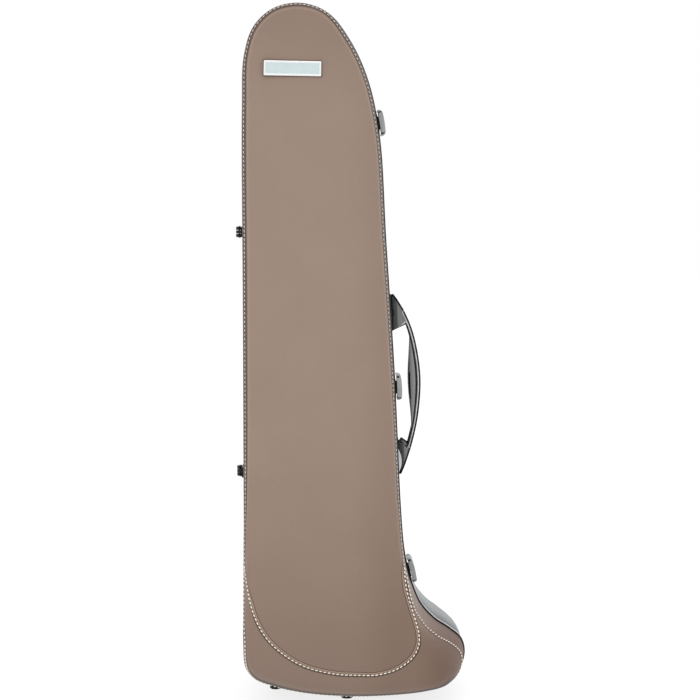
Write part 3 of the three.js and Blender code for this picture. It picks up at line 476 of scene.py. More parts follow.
def brushed_metal(name, color, roughness, along=(6, 6, 1)):
    """Metal with fine brush lines along the longest side and a cloudy reflection."""
    finish = Finish(name, color, roughness[0], {"Metallic": 1.0})
    lines = finish.noise(LINE_SIZE, 5.0, finish.stretched(along))
    finish.paint(finish.toned(finish.ranged(lines, *STREAK_RANGE), *LINE_TONES))
    finish.rough(finish.sum(finish.noise(CLOUD_SIZE), lines, 0.2), *roughness)
    finish.relief(lines, LINE_DEPTH, 0.5)
    return finish.material


WEAR_SIZE = 0.011
WEAR_TONES = (0.8, 1.35)


def moulded(name, color, roughness, size=0.0008, depth=0.00006):
    """Moulded plastic or rubber with a fine spark-eroded texture."""
    finish = Finish(name, color, roughness[0], {"Specular IOR Level": 0.3})
    texture = finish.noise(size, 3.0)
    wear = finish.ranged(finish.noise(WEAR_SIZE, 4.0), *WEAR_RANGE)
    finish.paint(finish.toned(wear, *WEAR_TONES))
    finish.rough(finish.sum(texture, wear, 0.3), *roughness)
    finish.relief(texture, depth, 0.6)
    return finish.material


TWIST_SIZE = 0.0006
TWIST_DEPTH = 0.0001
TWIST_TONES = (0.7, 1.08)


def thread(name, color):
    """Waxed sewing thread with its twist."""
    finish = Finish(name, color, 0.6, {"Sheen Weight": 0.2})
    twist = finish.noise(TWIST_SIZE)
    finish.paint(finish.toned(twist, *TWIST_TONES))
    finish.relief(twist, TWIST_DEPTH, 0.8)
    return finish.material


FLOOR_COLOR = (0.2, 0.2, 0.2, 1)
FLOOR_GLOW = 0.80
FLOOR_TONES = (1.0, 1.15)
FLOOR_CLOUD_SIZE = 0.8


def floor_finish():
    """A light-table floor: it glows evenly, so that only soft shadows show on it."""
    glow = {"Emission Color": (1, 1, 1, 1), "Emission Strength": FLOOR_GLOW}
    finish = Finish("pale_floor", FLOOR_COLOR, 0.8, glow)
    finish.paint(finish.toned(finish.noise(FLOOR_CLOUD_SIZE), *FLOOR_TONES))
    return finish.material


TAUPE = srgb(150, 130, 116)
GREY = srgb(142, 147, 147)
# Painted shade in the seams and grooves
SEAM_SHADE = srgb(58, 45, 40)
GREY_SEAM_SHADE = srgb(60, 62, 63)
# Colours of the painted shade on each half's leather
TAUPE_PAINTED_SHADE = srgb(92, 64, 50)
GREY_PAINTED_SHADE = srgb(66, 66, 74)
HANDLE_GREY = srgb(140, 142, 140)
# Every material: how it is made, and what its maker is told after its name
LOOKS = {
    "taupe_leather": (leather, TAUPE, LEATHER_GRAIN, (0.42, 0.56), SEAM_SHADE, lid_shade, TAUPE_PAINTED_SHADE),
    "grey_leather": (leather, GREY, LEATHER_GRAIN, (0.32, 0.48), GREY_SEAM_SHADE, base_shade, GREY_PAINTED_SHADE),
    "handle_leather": (leather, HANDLE_GREY, HANDLE_GRAIN, (0.42, 0.56)),
    "plush": (plush_finish, srgb(52, 50, 54)),
    "black_edge": (moulded, srgb(15, 15, 16), (0.24, 0.38)),
    "black_rubber": (moulded, srgb(24, 24, 24), (0.6, 0.85), 0.0012, 0.0001),
    "satin_metal": (brushed_metal, srgb(164, 166, 165), (0.26, 0.44)),
    "steel": (brushed_metal, srgb(205, 207, 208), (0.18, 0.3), (8, 8, 8)),
    "plate_metal": (brushed_metal, srgb(208, 221, 222), (0.24, 0.38), (2, 30, 30)),
    "light_thread": (thread, srgb(250, 241, 226)),
    "grey_thread": (thread, srgb(196, 198, 198)),
    "pale_piping": (moulded, srgb(218, 220, 219), (0.3, 0.45)),
    "polished_metal": (brushed_metal, srgb(246, 247, 247), (0.1, 0.2), (8, 8, 8)),
    "pale_metal": (brushed_metal, srgb(214, 215, 220), (0.3, 0.44)),
    "dark_metal": (brushed_metal, srgb(38, 38, 40), (0.3, 0.46)),
    "plate_edging": (moulded, srgb(84, 62, 52), (0.4, 0.55)),
}
FINISHES = {name: make(name, *look) for name, (make, *look) in LOOKS.items()}


# Making pieces
def make_piece(name, points, faces, slot, body, material=None):
    mesh = bpy.data.meshes.new(name)
    mesh.from_pydata([tuple(p) for p in points], [], [tuple(f) for f in faces])
    mesh.update()
    mesh.materials.append(FINISHES[material or slot])
    outward(mesh)
    for polygon in mesh.polygons:
        polygon.use_smooth = True
    piece = linked(name, mesh)
    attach(piece, body)
    return piece


def coat(piece, material):
    """Gives a piece one material and takes its others off."""
    piece.data.materials.clear()
    piece.data.materials.append(FINISHES[material])


def outward(mesh):
    """Turns the faces outward all over the mesh."""
    shape = bmesh.new()
    shape.from_mesh(mesh)
    bmesh.ops.recalc_face_normals(shape, faces=shape.faces)
    shape.to_mesh(mesh)
    shape.free()


SHARP_ANGLE = 35
RIM_SHARP_ANGLE = 50


def sharpened(piece, degrees=SHARP_ANGLE):
    """Smooth shading that keeps the edges sharper than an angle."""
    piece.data.set_sharp_from_angle(angle=math.radians(degrees))


def add_bevel(piece, width, segments, degrees):
    bevel = piece.modifiers.new("edge", "BEVEL")
    bevel.width = width
    bevel.segments = segments
    bevel.limit_method = "ANGLE"
    bevel.angle_limit = math.radians(degrees)
    return bevel


def baked(piece):
    """The piece's mesh with its modifiers applied."""
    depsgraph = bpy.context.evaluated_depsgraph_get()
    mesh = bpy.data.meshes.new_from_object(piece.evaluated_get(depsgraph))
    piece.modifiers.clear()
    piece.data = mesh


def ring_round(middle, across, up, radius, sides):
    """Points of a ring round a place."""
    turns = [2 * math.pi * s / sides for s in range(sides)]
    return [middle + (across * math.cos(turn) + up * math.sin(turn)) * radius for turn in turns]


def strip_faces(rows, columns, closed=False):
    """Quads between rings of a grid whose rings are closed; closed joins the last ring to the first."""
    faces = []
    strips = rows if closed else rows - 1
    for k in range(strips):
        here = k * columns
        there = ((k + 1) % rows) * columns
        for i in range(columns):
            j = (i + 1) % columns
            faces.append((here + i, here + j, there + j, there + i))
    return faces


def capped_faces(rows, columns):
    """Quads between rings, with a flat face across the first and the last ring."""
    last = (rows - 1) * columns
    return strip_faces(rows, columns) + [tuple(range(columns)), tuple(range(last, last + columns))]


def laced_cap(ring, first):
    """Faces across a ring, from the bottom to the top between its hinge side and its latch side."""
    faces = []
    left, right = 0, len(ring) - 1
    while left + 1 < right:
        if ring[left + 1][2] < ring[right - 1][2]:
            faces.append((first + left, first + right, first + left + 1))
            left += 1
        else:
            faces.append((first + left, first + right, first + right - 1))
            right -= 1
    return faces


def laced_faces(rings):
    """Quads between rings round the case, with the first and the last ring laced up."""
    rows, columns = rings.shape[:2]
    caps = laced_cap(rings[0], 0) + laced_cap(rings[-1], (rows - 1) * columns)
    return strip_faces(rows, columns) + caps


def shifted(faces, start):
    return [tuple(start + v for v in face) for face in faces]


# Outline of the case
def unit(vectors):
    return vectors / np.linalg.norm(vectors, axis=-1, keepdims=True)


def flat_places(shares):
    """Case x and z of places that are given as shares of the case's width and height."""
    return np.array(shares) * (CASE_WIDTH, CASE_HEIGHT) + (0, FOOT_HEIGHT)


def closed_curve(points, per_station):
    """Points and tangents of a closed curve through the stations, even in its knots."""
    before, after, beyond = (np.roll(points, shift, 0) for shift in (1, -1, -2))
    first, here, last = (
        np.sqrt(np.linalg.norm(b - a, axis=1, keepdims=True))
        for a, b in ((before, points), (points, after), (after, beyond))
    )
    leave = (points - before) / first - (after - before) / (first + here) + (after - points) / here
    reach = (after - points) / here - (beyond - points) / (here + last) + (beyond - after) / last
    leave, reach = leave * here, reach * here
    square = 3 * (after - points) - 2 * leave - reach
    cube = 2 * (points - after) + leave + reach
    w = (np.arange(per_station) / per_station)[None, :, None]
    places = points[:, None] + w * (leave[:, None] + w * (square[:, None] + w * cube[:, None]))
    slopes = leave[:, None] + w * (2 * square[:, None] + 3 * w * cube[:, None])
    return places.reshape(-1, 2), slopes.reshape(-1, 2)


def chords(rings, axis=0):
    """From the point before to the point after, round closed rings."""
    return np.roll(rings, -1, axis) - np.roll(rings, 1, axis)


def inward_of(slopes):
    return unit(np.stack([slopes[:, 1], -slopes[:, 0]], 1))


class Outline:
    """The rim and the face edge of the case in case coordinates, x from the hinge side, z from the floor."""

    def __init__(self, per_station):
        shares = np.array(STATION_SHARES)
        self.rim, slopes = closed_curve(flat_places(shares[:, 0:2]), per_station)
        self.rim_inward = inward_of(slopes)
        self.face, slopes = closed_curve(flat_places(shares[:, 2:4]), per_station)
        self.face_inward = inward_of(slopes)
        steps = (np.arange(per_station) / per_station)[None, :]
        power = shares[:, 4]
        self.power = (power[:, None] * (1 - steps) + np.roll(power, -1)[:, None] * steps).reshape(-1)
        self.count = len(self.rim)

    def rim_at(self, inward):
        return self.rim + self.rim_inward * inward


outlines = {n: Outline(n) for n in (FRAME_SAMPLES, LINING_SAMPLES, SKIN_SAMPLES)}
ORIGIN_X = lid_rim_box[0].x - outlines[FRAME_SAMPLES].rim_at(-RIM_PROUD)[:, 0].min()


def placed(flat, y):
    """Case x and z with a depth from the parting plane, in the frame."""
    y = np.broadcast_to(y, len(flat))
    return np.stack([flat[:, 0] + ORIGIN_X, y + PARTING_Y, flat[:, 1]], 1)


class Half:
    """One half of the case: its depth at the neck and at the bell, and how its wall turns into its face."""

    def __init__(self, sign, neck, bell, crown, inset, flare_shares, wall_power=None):
        self.sign, self.neck, self.bell = sign, neck, bell
        self.crown, self.inset, self.flare_shares = crown, inset, flare_shares
        self.wall_power = wall_power

    def depth(self, z):
        share = (z - FOOT_HEIGHT) / CASE_HEIGHT
        start, end = self.flare_shares
        narrow = np.clip((share - end) / (start - end), 0, 1)
        narrow = narrow * narrow * (3 - 2 * narrow)
        belly = np.maximum(0, BELLY_SHARE - share) / BELLY_SHARE
        return self.bell - (self.bell - self.neck) * narrow - BELLY_DROP * belly * belly

    def face_edge(self, outline, offset):
        return outline.face + outline.face_inward * (self.inset + offset * FACE_FOLLOW_SHARE)

    def wall_ring(self, outline, offset, angle):
        power = outline.power if self.wall_power is None else self.wall_power
        face = self.face_edge(outline, offset)
        depth = self.depth(face[:, 1]) - offset
        rise = math.sin(angle) ** (2 / power)
        spread = max(math.cos(angle), 0.0) ** (2 / power)
        flat = face + (outline.rim_at(offset) - face) * np.reshape(spread, (-1, 1))
        return placed(flat, self.sign * (WALL_START + (depth - WALL_START) * rise))

    def face_ring(self, outline, offset, share):
        edge = self.face_edge(outline, offset)
        low, high = flat_places(SPINE_SHARES)
        along = np.clip((edge[:, 1:] - low[1]) / (high[1] - low[1]), 0, 1)
        flat = edge + (low + (high - low) * along - edge) * share
        crown = self.crown * share * (2 - share)
        return placed(flat, self.sign * (self.depth(flat[:, 1]) + crown - offset))

    def rings(self, outline, offset, steps):
        angles = np.linspace(0, math.pi / 2, steps + 1)
        shares = np.linspace(0, FACE_END_SHARE, steps + 1)[1:]
        walls = [self.wall_ring(outline, offset, angle) for angle in angles]
        return np.array(walls + [self.face_ring(outline, offset, share) for share in shares])


LID = Half(sign=-1, neck=0.066, bell=0.116, crown=0.005, inset=0.0, flare_shares=(0.31, 0.122))
BASE = Half(
    sign=1, neck=0.076, bell=0.148, crown=0.004, inset=0.010, flare_shares=(0.36, 0.13), wall_power=4.2
)


# Leather shells with their seams
def path_lengths(rings):
    steps = np.linalg.norm(np.diff(rings, axis=0), axis=2)
    return np.vstack([np.zeros(rings.shape[1]), np.cumsum(steps, 0)])


def on_paths(rings, lengths, wanted):
    """Points at wanted distances along each path from the rim to the spine."""
    out = np.empty((len(wanted), rings.shape[1], 3))
    for i in range(rings.shape[1]):
        for axis in range(3):
            out[:, i, axis] = np.interp(wanted[:, i], lengths[:, i], rings[:, i, axis])
    return out


def inside(points, polygon):
    """Which points lie inside a polygon, both as x and z."""
    x, z = points[..., 0], points[..., 1]
    found = np.zeros(x.shape, bool)
    for a, b in zip(polygon, np.roll(polygon, -1, 0)):
        crosses = (a[1] > z) != (b[1] > z)
        right_of = (x - a[0]) * (b[1] - a[1]) < (b[0] - a[0]) * (z - a[1])
        found ^= crosses & (right_of == (b[1] > a[1]))
    return found


def seam_distance(rings, lengths, polygon):
    """How far from the rim each path first enters the panel inside the seam."""
    within = inside(rings[..., [0, 2]], polygon)
    first = np.maximum(np.argmax(within, 0), 1)
    columns = np.arange(rings.shape[1])
    near, far = lengths[first - 1, columns], lengths[first, columns]
    for _ in range(SEAM_HALVINGS):
        middle = (near + far) / 2
        held = inside(on_paths(rings, lengths, middle[None])[0][:, [0, 2]], polygon)
        far = np.where(held, middle, far)
        near = np.where(held, near, middle)
    return np.where(within[0], 0.0, far)


def wall_distance(lengths, degrees):
    """How far from the rim each path is at its own angle of the wall."""
    rows = degrees / 90 * SKIN_STEPS
    first = rows.astype(int)
    columns = np.arange(len(rows))
    return lengths[first, columns] * (1 - rows + first) + lengths[first + 1, columns] * (rows - first)


def soft_maximum(a, b, blend):
    return (a + b + np.sqrt((a - b) ** 2 + blend ** 2)) / 2


def smoothed(values, turns):
    for _ in range(turns):
        values = (np.roll(values, 1) + 2 * values + np.roll(values, -1)) / 4
    return values


def grid_normals(grid, sign):
    """Normals of a grid of rings, pointing out of the half that they belong to."""
    normals = unit(np.cross(chords(grid, 1), np.gradient(grid, axis=0)))
    flip = np.sign(normals[-1, :, 1].sum()) != sign
    return -normals if flip else normals


def groove_shape(distance, grooves):
    """Height and darkness of a set of grooves at a distance from their stitch line."""
    shape = np.zeros((2, *distance.shape))
    for middle, half, deep, shade in grooves:
        dip = np.exp(-(((distance - middle) / half) ** 2))
        shape += np.array([-deep * dip, shade * dip])
    return shape


def seam_line(rings, lengths, seam):
    """A seam's points and the normals of the surface along it."""
    line = on_paths(rings, lengths, seam[None])[0]
    step = on_paths(rings, lengths, (seam + SEAM_STEP)[None])[0]
    normal = unit(np.cross(chords(line), step - line))
    outward_sum = ((line - line.mean(0)) * normal).sum()
    return line, normal if outward_sum > 0 else -normal


class Skin:
    """The outer surface of one half as a grid of rings, with its seams pressed in."""

    def __init__(self, half, band_places, edge_shade_places):
        outline = outlines[SKIN_SAMPLES]
        rings = half.rings(outline, 0.0, SKIN_STEPS)
        lengths = path_lengths(rings)
        polygon = closed_curve(flat_places(PANEL_SEAM_SHARES) + (ORIGIN_X, 0), SEAM_SAMPLES)[0]
        crossing = seam_distance(rings, lengths, polygon)
        stations = np.arange(outline.count) / SKIN_SAMPLES
        wall = wall_distance(lengths, np.interp(stations, *zip(*PANEL_SEAM_ANGLES)))
        panel = smoothed(soft_maximum(crossing, wall, SEAM_BLEND), PANEL_TURNS)
        on_wall = (1 - np.tanh((crossing - wall) / SEAM_BLEND / 2)) / 2
        spread = smoothed(1 + WALL_SPREAD * on_wall, SPREAD_TURNS)
        band = smoothed(np.minimum(np.interp(stations, *zip(*band_places)), panel), BAND_TURNS)
        parted = np.clip((panel - band) / SEAM_PARTING - 1, 0, 1)
        wanted = self.rows(band, panel, spread, lengths[-1])
        grid = on_paths(rings, lengths, wanted)
        shape = groove_shape((wanted - panel) / spread, PANEL_GROOVES)
        shape += (groove_shape((wanted - panel) / spread, WALL_GROOVES) - shape) * on_wall
        # Seam darkness: painted shade in the grooves and at the stitches, and below zero painted highlight on
        # the ridges
        height, dark = shape + groove_shape(wanted - band, BAND_GROOVES) * parted
        self.grid = grid + grid_normals(grid, half.sign) * height[..., None]
        # Painted edge shade in a strip beside the seam on the wall, added to the seam darkness
        edge_shade = np.interp(stations, *zip(*edge_shade_places))
        strip = np.exp(-(((wanted - wall + EDGE_SHADE_MIDDLE) / EDGE_SHADE_HALF) ** 4))
        self.dark = dark + edge_shade * strip
        everywhere = np.ones(outline.count, bool)
        thickness = 1 - (1 - WALL_STITCH_SHARE) * on_wall
        self.stitch_lines = [
            (*seam_line(rings, lengths, panel), everywhere, thickness),
            (*seam_line(rings, lengths, band), parted > 0.5, np.ones(outline.count)),
        ]

    def rows(self, band, panel, spread, end):
        """Distances from the rim of every ring: close together at the seams, wide between them."""
        reach = SEAM_REACH * spread
        middle = np.minimum(band, panel - reach - SEAM_REACH - SEAM_BLEND)
        edges = [0 * end, middle - SEAM_REACH, middle + SEAM_REACH, panel - reach, panel + reach, end]
        rows = []
        for start, stop, count in zip(edges, edges[1:], SKIN_ROWS):
            rows += [start + (stop - start) * share for share in np.linspace(0, 1, count, endpoint=False)]
        return np.array(rows + [end])


def make_shell(body, half, skin, slot):
    inner = half.rings(outlines[SKIN_SAMPLES], SHELL_WALL, INNER_STEPS)[::-1]
    rings = np.concatenate([inner, skin.grid])
    piece = make_piece(f"{body}_leather", rings.reshape(-1, 3), laced_faces(rings), slot, body)
    # The seam attribute carries painted shade, and painted highlight where it is below zero
    dark = np.concatenate([np.zeros(inner.shape[:2]), skin.dark]).reshape(-1)
    seam = piece.data.attributes.new("seam", "FLOAT", "POINT")
    seam.data.foreach_set("value", np.clip(dark, -1, 1).astype(np.float32))
    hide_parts(f"{body}_shell")


def even_places(line, pitch):
    """Places round a closed line at an even pitch: index before, share beyond it."""
    steps = np.linalg.norm(np.roll(line, -1, 0) - line, axis=1)
    lengths = np.concatenate([[0], np.cumsum(steps)])
    count = int(round(lengths[-1] / pitch))
    wanted = (np.arange(count) + 0.5) * lengths[-1] / count
    first = np.searchsorted(lengths, wanted, side="right") - 1
    return first, (wanted - lengths[first]) / steps[first]


def make_stitches(body, lines, slot, material):
    """Rows of stitches that dip into the leather at both ends."""
    points, faces = [], []
    stitch = capped_faces(len(STITCH_RING_SHARES), STITCH_SIDES)
    for line, normals, sewn, thickness in lines:
        first, share = even_places(line, STITCH_PITCH)
        kept = sewn[first]
        first, share = first[kept], share[kept]
        for i, j, w in zip(first, (first + 1) % len(line), share):
            centre = Vector(line[i] * (1 - w) + line[j] * w)
            normal = Vector(normals[i] * (1 - w) + normals[j] * w).normalized()
            along = Vector(line[j] - line[i]).normalized()
            across = normal.cross(along)
            along = (along + across * STITCH_SLANT).normalized()
            radius = float(thickness[i]) * STITCH_RADIUS
            faces += shifted(stitch, len(points))
            for place, thick, lift in STITCH_RING_SHARES:
                middle = centre + along * place * STITCH_LENGTH + normal * lift * radius
                points += ring_round(middle, across, normal, thick * radius, STITCH_SIDES)
    make_piece(f"{body}_stitching", points, faces, slot, body, material)


# Rims, seal and linings: the rims' round edges, the seal's section and the linings' raised lip
RIM_CORNER = 0.0013
RIM_CORNER_STEPS = 4
GASKET_WIDTH = 0.003
GASKET_BEVEL = 0.0008
GASKET_LIP = 0.001
LIP_SHARES = (0.25, 0.5, 0.75)
LIP_RISE = 0.0026


def swept_band(name, node, body, slot, profile, material=None, samples=SKIN_SAMPLES):
    """A profile of inward offset and depth carried all round the rim."""
    outline = outlines[samples]
    rings = [placed(outline.rim_at(inward), y) for inward, y in profile]
    faces = strip_faces(len(rings), outline.count, closed=True)
    piece = make_piece(name, np.concatenate(rings), faces, slot, body, material)
    sharpened(piece, RIM_SHARP_ANGLE)
    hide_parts(node)


def rim_profile(sign):
    """A flange that stands proud of the leather, with round outer edges."""
    near, far = PARTING_GAP, PARTING_GAP + RIM_HEIGHT
    profile = [(SHELL_WALL, sign * near)]
    for middle, start in ((near + RIM_CORNER, -math.pi / 2), (far - RIM_CORNER, 0)):
        for k in range(RIM_CORNER_STEPS + 1):
            angle = start + math.pi / 2 * k / RIM_CORNER_STEPS
            inward = RIM_CORNER - RIM_PROUD - RIM_CORNER * math.cos(angle)
            profile.append((inward, sign * (middle + RIM_CORNER * math.sin(angle))))
    return profile + [(SHELL_WALL, sign * far)]


def make_rims():
    swept_band("lid_edge_binding", "lid_rim", "lid", "black_edge", rim_profile(-1))
    swept_band("base_edge_binding", "base_rim", "base", "satin_metal", rim_profile(1), "polished_metal")


def make_gasket():
    low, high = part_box("rim_seal")
    near, far = low.y - PARTING_Y, high.y - PARTING_Y
    outer = SHELL_WALL + PARTING_GAP
    inner = outer + GASKET_WIDTH
    profile = [
        (outer, far), (outer, near + GASKET_LIP), (outer + GASKET_BEVEL, near),
        (inner - GASKET_BEVEL, near), (inner, near + GASKET_LIP), (inner, far),
    ]
    swept_band("gasket", "rim_seal", "base", "black_rubber", profile, samples=LINING_SAMPLES)


def make_lining(body, half):
    """A foam liner under plush, rounded over at its open edge."""
    outline = outlines[LINING_SAMPLES]
    outer = half.rings(outline, LINING_OFFSET, LINING_STEPS)[::-1]
    inner = half.rings(outline, CAVITY_OFFSET, LINING_STEPS)
    lip = []
    for share in LIP_SHARES:
        offset = LINING_OFFSET + (CAVITY_OFFSET - LINING_OFFSET) * share
        rise = 0 if share == LIP_SHARES[0] else LIP_RISE * math.sin(math.pi * share)
        lip.append(placed(outline.rim_at(offset), half.sign * (WALL_START - rise)))
    rings = np.concatenate([outer, np.array(lip), inner])
    piece = make_piece(f"{body}_plush", rings.reshape(-1, 3), laced_faces(rings), "plush", body)
    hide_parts(f"{body}_lining")


# Foam blocks under plush, made from their solids with rounded edges
FOAM_BLOCKS = [
    "bell_cradle", "bell_pad", "bell_plug", "neck_cradle_lower", "neck_cradle_upper", "bow_rest",
    "mouthpiece_block", "slide_cradle_lower", "slide_cradle_upper", "slide_bow_rest",
]
FOAM_VOXEL = 0.003
TRAY_LID_VOXEL = 0.0012


def make_soft_block(node, voxel=FOAM_VOXEL, turns=6):
    piece = linked(f"{node}_plush", nodes[node].data.copy())
    remesh = piece.modifiers.new("even", "REMESH")
    remesh.mode = "VOXEL"
    remesh.voxel_size = voxel
    remesh.use_smooth_shade = True
    smooth = piece.modifiers.new("round", "SMOOTH")
    smooth.iterations = turns
    smooth.factor = 0.5
    baked(piece)
    coat(piece, "plush")
    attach(piece, body_of[node])
    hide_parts(node)


# Carrying handle: sizes of its strap, the stations that it stands between, and shares of its length and bow
HANDLE_LENGTH = 0.262
HANDLE_BOW = 0.037
HANDLE_STRAP = 0.0045
HANDLE_HALF_WIDTH = 0.010
HANDLE_END_HALF_WIDTH = 0.0022
HANDLE_PIVOT_OUT = 0.008
HANDLE_BARREL = 0.0046
HANDLE_FOOT = HANDLE_PIVOT_OUT - HANDLE_BARREL
LATCH_SIDE_STATIONS = (14, 25)
HANDLE_HEIGHT_SHARE = 0.4445
HANDLE_SETBACK = 0.046
BOW_SHARES = [(0, 0.05), (0.09, 0.32), (0.2, 0.6), (0.34, 0.85), (0.54, 1), (0.75, 0.84), (0.86, 0.6),
              (0.94, 0.32), (1, 0.05)]
BOW_SAMPLES = 12
EAR_SHARES = {"lower_end": 0.02, "lower_top": 0.2, "upper_bottom": 0.79, "upper_end": 0.98}
EAR_SLANT_SHARE = 0.035
LOWER_SLANT_SHARE = EAR_SHARES["lower_top"] - EAR_SLANT_SHARE
UPPER_SLANT_SHARE = EAR_SHARES["upper_bottom"] + EAR_SLANT_SHARE
OUTER_STEPS = 60
INNER_BOW_STEPS = 44
STRAP_CUTS = 5
STRAP_CUT_PITCH = 0.0014
STRAP_BEVEL = 0.0008
STRAP_ANGLE = 40
TUBE_SIDES = 8


def open_curve(points, per_span):
    """Points of an open curve through its stations, carried straight on at both ends."""
    first = 2 * points[0] - points[1]
    last = 2 * points[-1] - points[-2]
    ring = np.vstack([points, [last, first]])
    places, _ = closed_curve(ring, per_span)
    return np.vstack([places[: (len(points) - 1) * per_span], points[-1:]])


bow_points = np.array([(out * HANDLE_BOW, along * HANDLE_LENGTH) for along, out in BOW_SHARES])
BOW = open_curve(bow_points, BOW_SAMPLES)


def bow_out(along):
    return np.interp(along, BOW[:, 1], BOW[:, 0])


def bow_run(start, stop, steps, inset):
    along = np.linspace(start, stop, steps + 1) * HANDLE_LENGTH
    return np.stack([bow_out(along) - inset, along], 1)


def handle_frame():
    """The handle's frame: X outward from the latch side, Z along it from the handle's lower end."""
    outline = outlines[SKIN_SAMPLES]
    z = FOOT_HEIGHT + HANDLE_HEIGHT_SHARE * CASE_HEIGHT
    top, flare = (station * SKIN_SAMPLES for station in LATCH_SIDE_STATIONS)
    run = np.arange(top, flare)
    place = run[np.argmin(abs(outline.rim[run, 1] - z))]
    x = np.interp(z, outline.rim[flare:top:-1, 1], outline.rim[flare:top:-1, 0])
    outward_side = -outline.rim_inward[place]
    turn = math.atan2(-outward_side[1], outward_side[0])
    move = Matrix.Translation((x + ORIGIN_X, HANDLE_SETBACK + PARTING_Y, z))
    return move @ Matrix.Rotation(turn, 4, "Y") @ Matrix.Translation((0, 0, -HANDLE_LENGTH / 2))


HANDLE_FRAME = handle_frame()


def on_handle(points):
    return [HANDLE_FRAME @ Vector(p) for p in points]


def strap_half_width(out):
    """The strap narrows towards its pivots, so that it clears the case when it swings."""
    high = HANDLE_PIVOT_OUT + HANDLE_BARREL / 2
    share = np.clip((out - HANDLE_FOOT) / (high - HANDLE_FOOT), 0, 1)
    return HANDLE_END_HALF_WIDTH + (HANDLE_HALF_WIDTH - HANDLE_END_HALF_WIDTH) * share


def strap_outline():
    outer = bow_run(EAR_SHARES["lower_end"], EAR_SHARES["upper_end"], OUTER_STEPS, 0)
    inner = bow_run(UPPER_SLANT_SHARE, LOWER_SLANT_SHARE, INNER_BOW_STEPS, HANDLE_STRAP)
    feet = {name: (HANDLE_FOOT, share * HANDLE_LENGTH) for name, share in EAR_SHARES.items()}
    upper = [feet["upper_end"], feet["upper_bottom"]]
    return np.vstack([outer, upper, inner, [feet["lower_top"], feet["lower_end"]]])


def cut_leather(name, outline):
    """An outline across the handle, cut in columns so that its width can follow how far out it stands."""
    shape = bmesh.new()
    verts = [shape.verts.new((x, 0, z)) for x, z in outline]
    for a, b, c in tessellate_polygon([[v.co for v in verts]]):
        shape.faces.new((verts[a], verts[b], verts[c]))
    for k in range(1, STRAP_CUTS + 1):
        x = HANDLE_FOOT + k * STRAP_CUT_PITCH
        geometry = shape.verts[:] + shape.edges[:] + shape.faces[:]
        bmesh.ops.bisect_plane(shape, geom=geometry, plane_co=(x, 0, 0), plane_no=(1, 0, 0))
    shape.verts.index_update()
    flat = [v.co.copy() for v in shape.verts]
    faces = [[v.index for v in f.verts] for f in shape.faces]
    border = [[v.index for v in e.verts] for e in shape.edges if e.is_boundary]
    shape.free()
    count = len(flat)
    points = [(p.x, side * float(strap_half_width(p.x)), p.z) for side in (-1, 1) for p in flat]
    faces += [[v + count for v in reversed(f)] for f in faces]
    faces += [[a, b, b + count, a + count] for a, b in border]
    return make_piece(name, on_handle(points), faces, "handle_leather", "handle")


def make_tubes(name, paths, radius, slot, material=None, closed=False):
    """Round tubes along paths on the handle."""
    points, faces = [], []
    for path in paths:
        count = len(path)
        loops = strip_faces(count, TUBE_SIDES, closed) if closed else capped_faces(count, TUBE_SIDES)
        faces += shifted(loops, len(points))
        for i, p in enumerate(path):
            before = path[i - 1] if i or closed else p
            after = path[(i + 1) % count] if i < count - 1 or closed else p
            along = (after - before).normalized()
            across = along.cross(Vector((0, 1, 0))).normalized()
            points += ring_round(p, across, across.cross(along), radius, TUBE_SIDES)
    make_piece(name, points, faces, slot, "handle", material)


def inset_path(outline, distance):
    """An outline moved inward, as x and z."""
    return outline - inward_of(chords(outline)) * distance


def side_paths(lines, lift):
    """Lines drawn on both side faces of the strap."""
    return [
        on_handle([(x, sign * (float(strap_half_width(x)) + lift), z) for x, z in line])
        for line in lines
        for sign in (-1, 1)
    ]


# Piping, edge paint and keeper of the handle
PIPING_INSET = 0.0021
PIPING_LIFT = 0.0001
PIPING_RADIUS = 0.0008
PIPING_SHARES = (0.15, 0.90)
PIPING_START = HANDLE_PIVOT_OUT + HANDLE_BARREL + 2 * PIPING_RADIUS
EDGE_PAINT_RADIUS = 0.0012
EDGE_PAINT_LIFT = -0.0002
KEEPER_WIDTH = 0.0036
KEEPER_SHARES = (0.10, 0.86)


def ear_slant(edge, share):
    """The slanting edge of an ear, from its foot to the inside of the bow."""
    along = share * HANDLE_LENGTH
    return np.array([(HANDLE_FOOT, EAR_SHARES[edge] * HANDLE_LENGTH), (bow_out(along) - HANDLE_STRAP, along)])


def keeper_outline():
    """A short leather keeper that lies against the top of the lower ear."""
    start, stop = ear_slant("lower_top", LOWER_SLANT_SHARE)
    near, far = (start + (stop - start) * share for share in KEEPER_SHARES)
    along = unit(stop - start)
    across = np.array([-along[1], along[0]])
    seat, top = PARTING_GAP, PARTING_GAP + KEEPER_WIDTH
    return np.array([near + across * top, far + across * top, far + across * seat, near + across * seat])


def make_strap(outline):
    strap = cut_leather("handle_strap_leather", outline)
    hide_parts("handle_strap")
    add_bevel(strap, STRAP_BEVEL, 2, STRAP_ANGLE)
    baked(strap)
    sharpened(strap, STRAP_ANGLE)


def make_edge_paint(outlines_painted):
    paths = side_paths(outlines_painted, EDGE_PAINT_LIFT)
    make_tubes("handle_edge_paint", paths, EDGE_PAINT_RADIUS, "black_edge", closed=True)


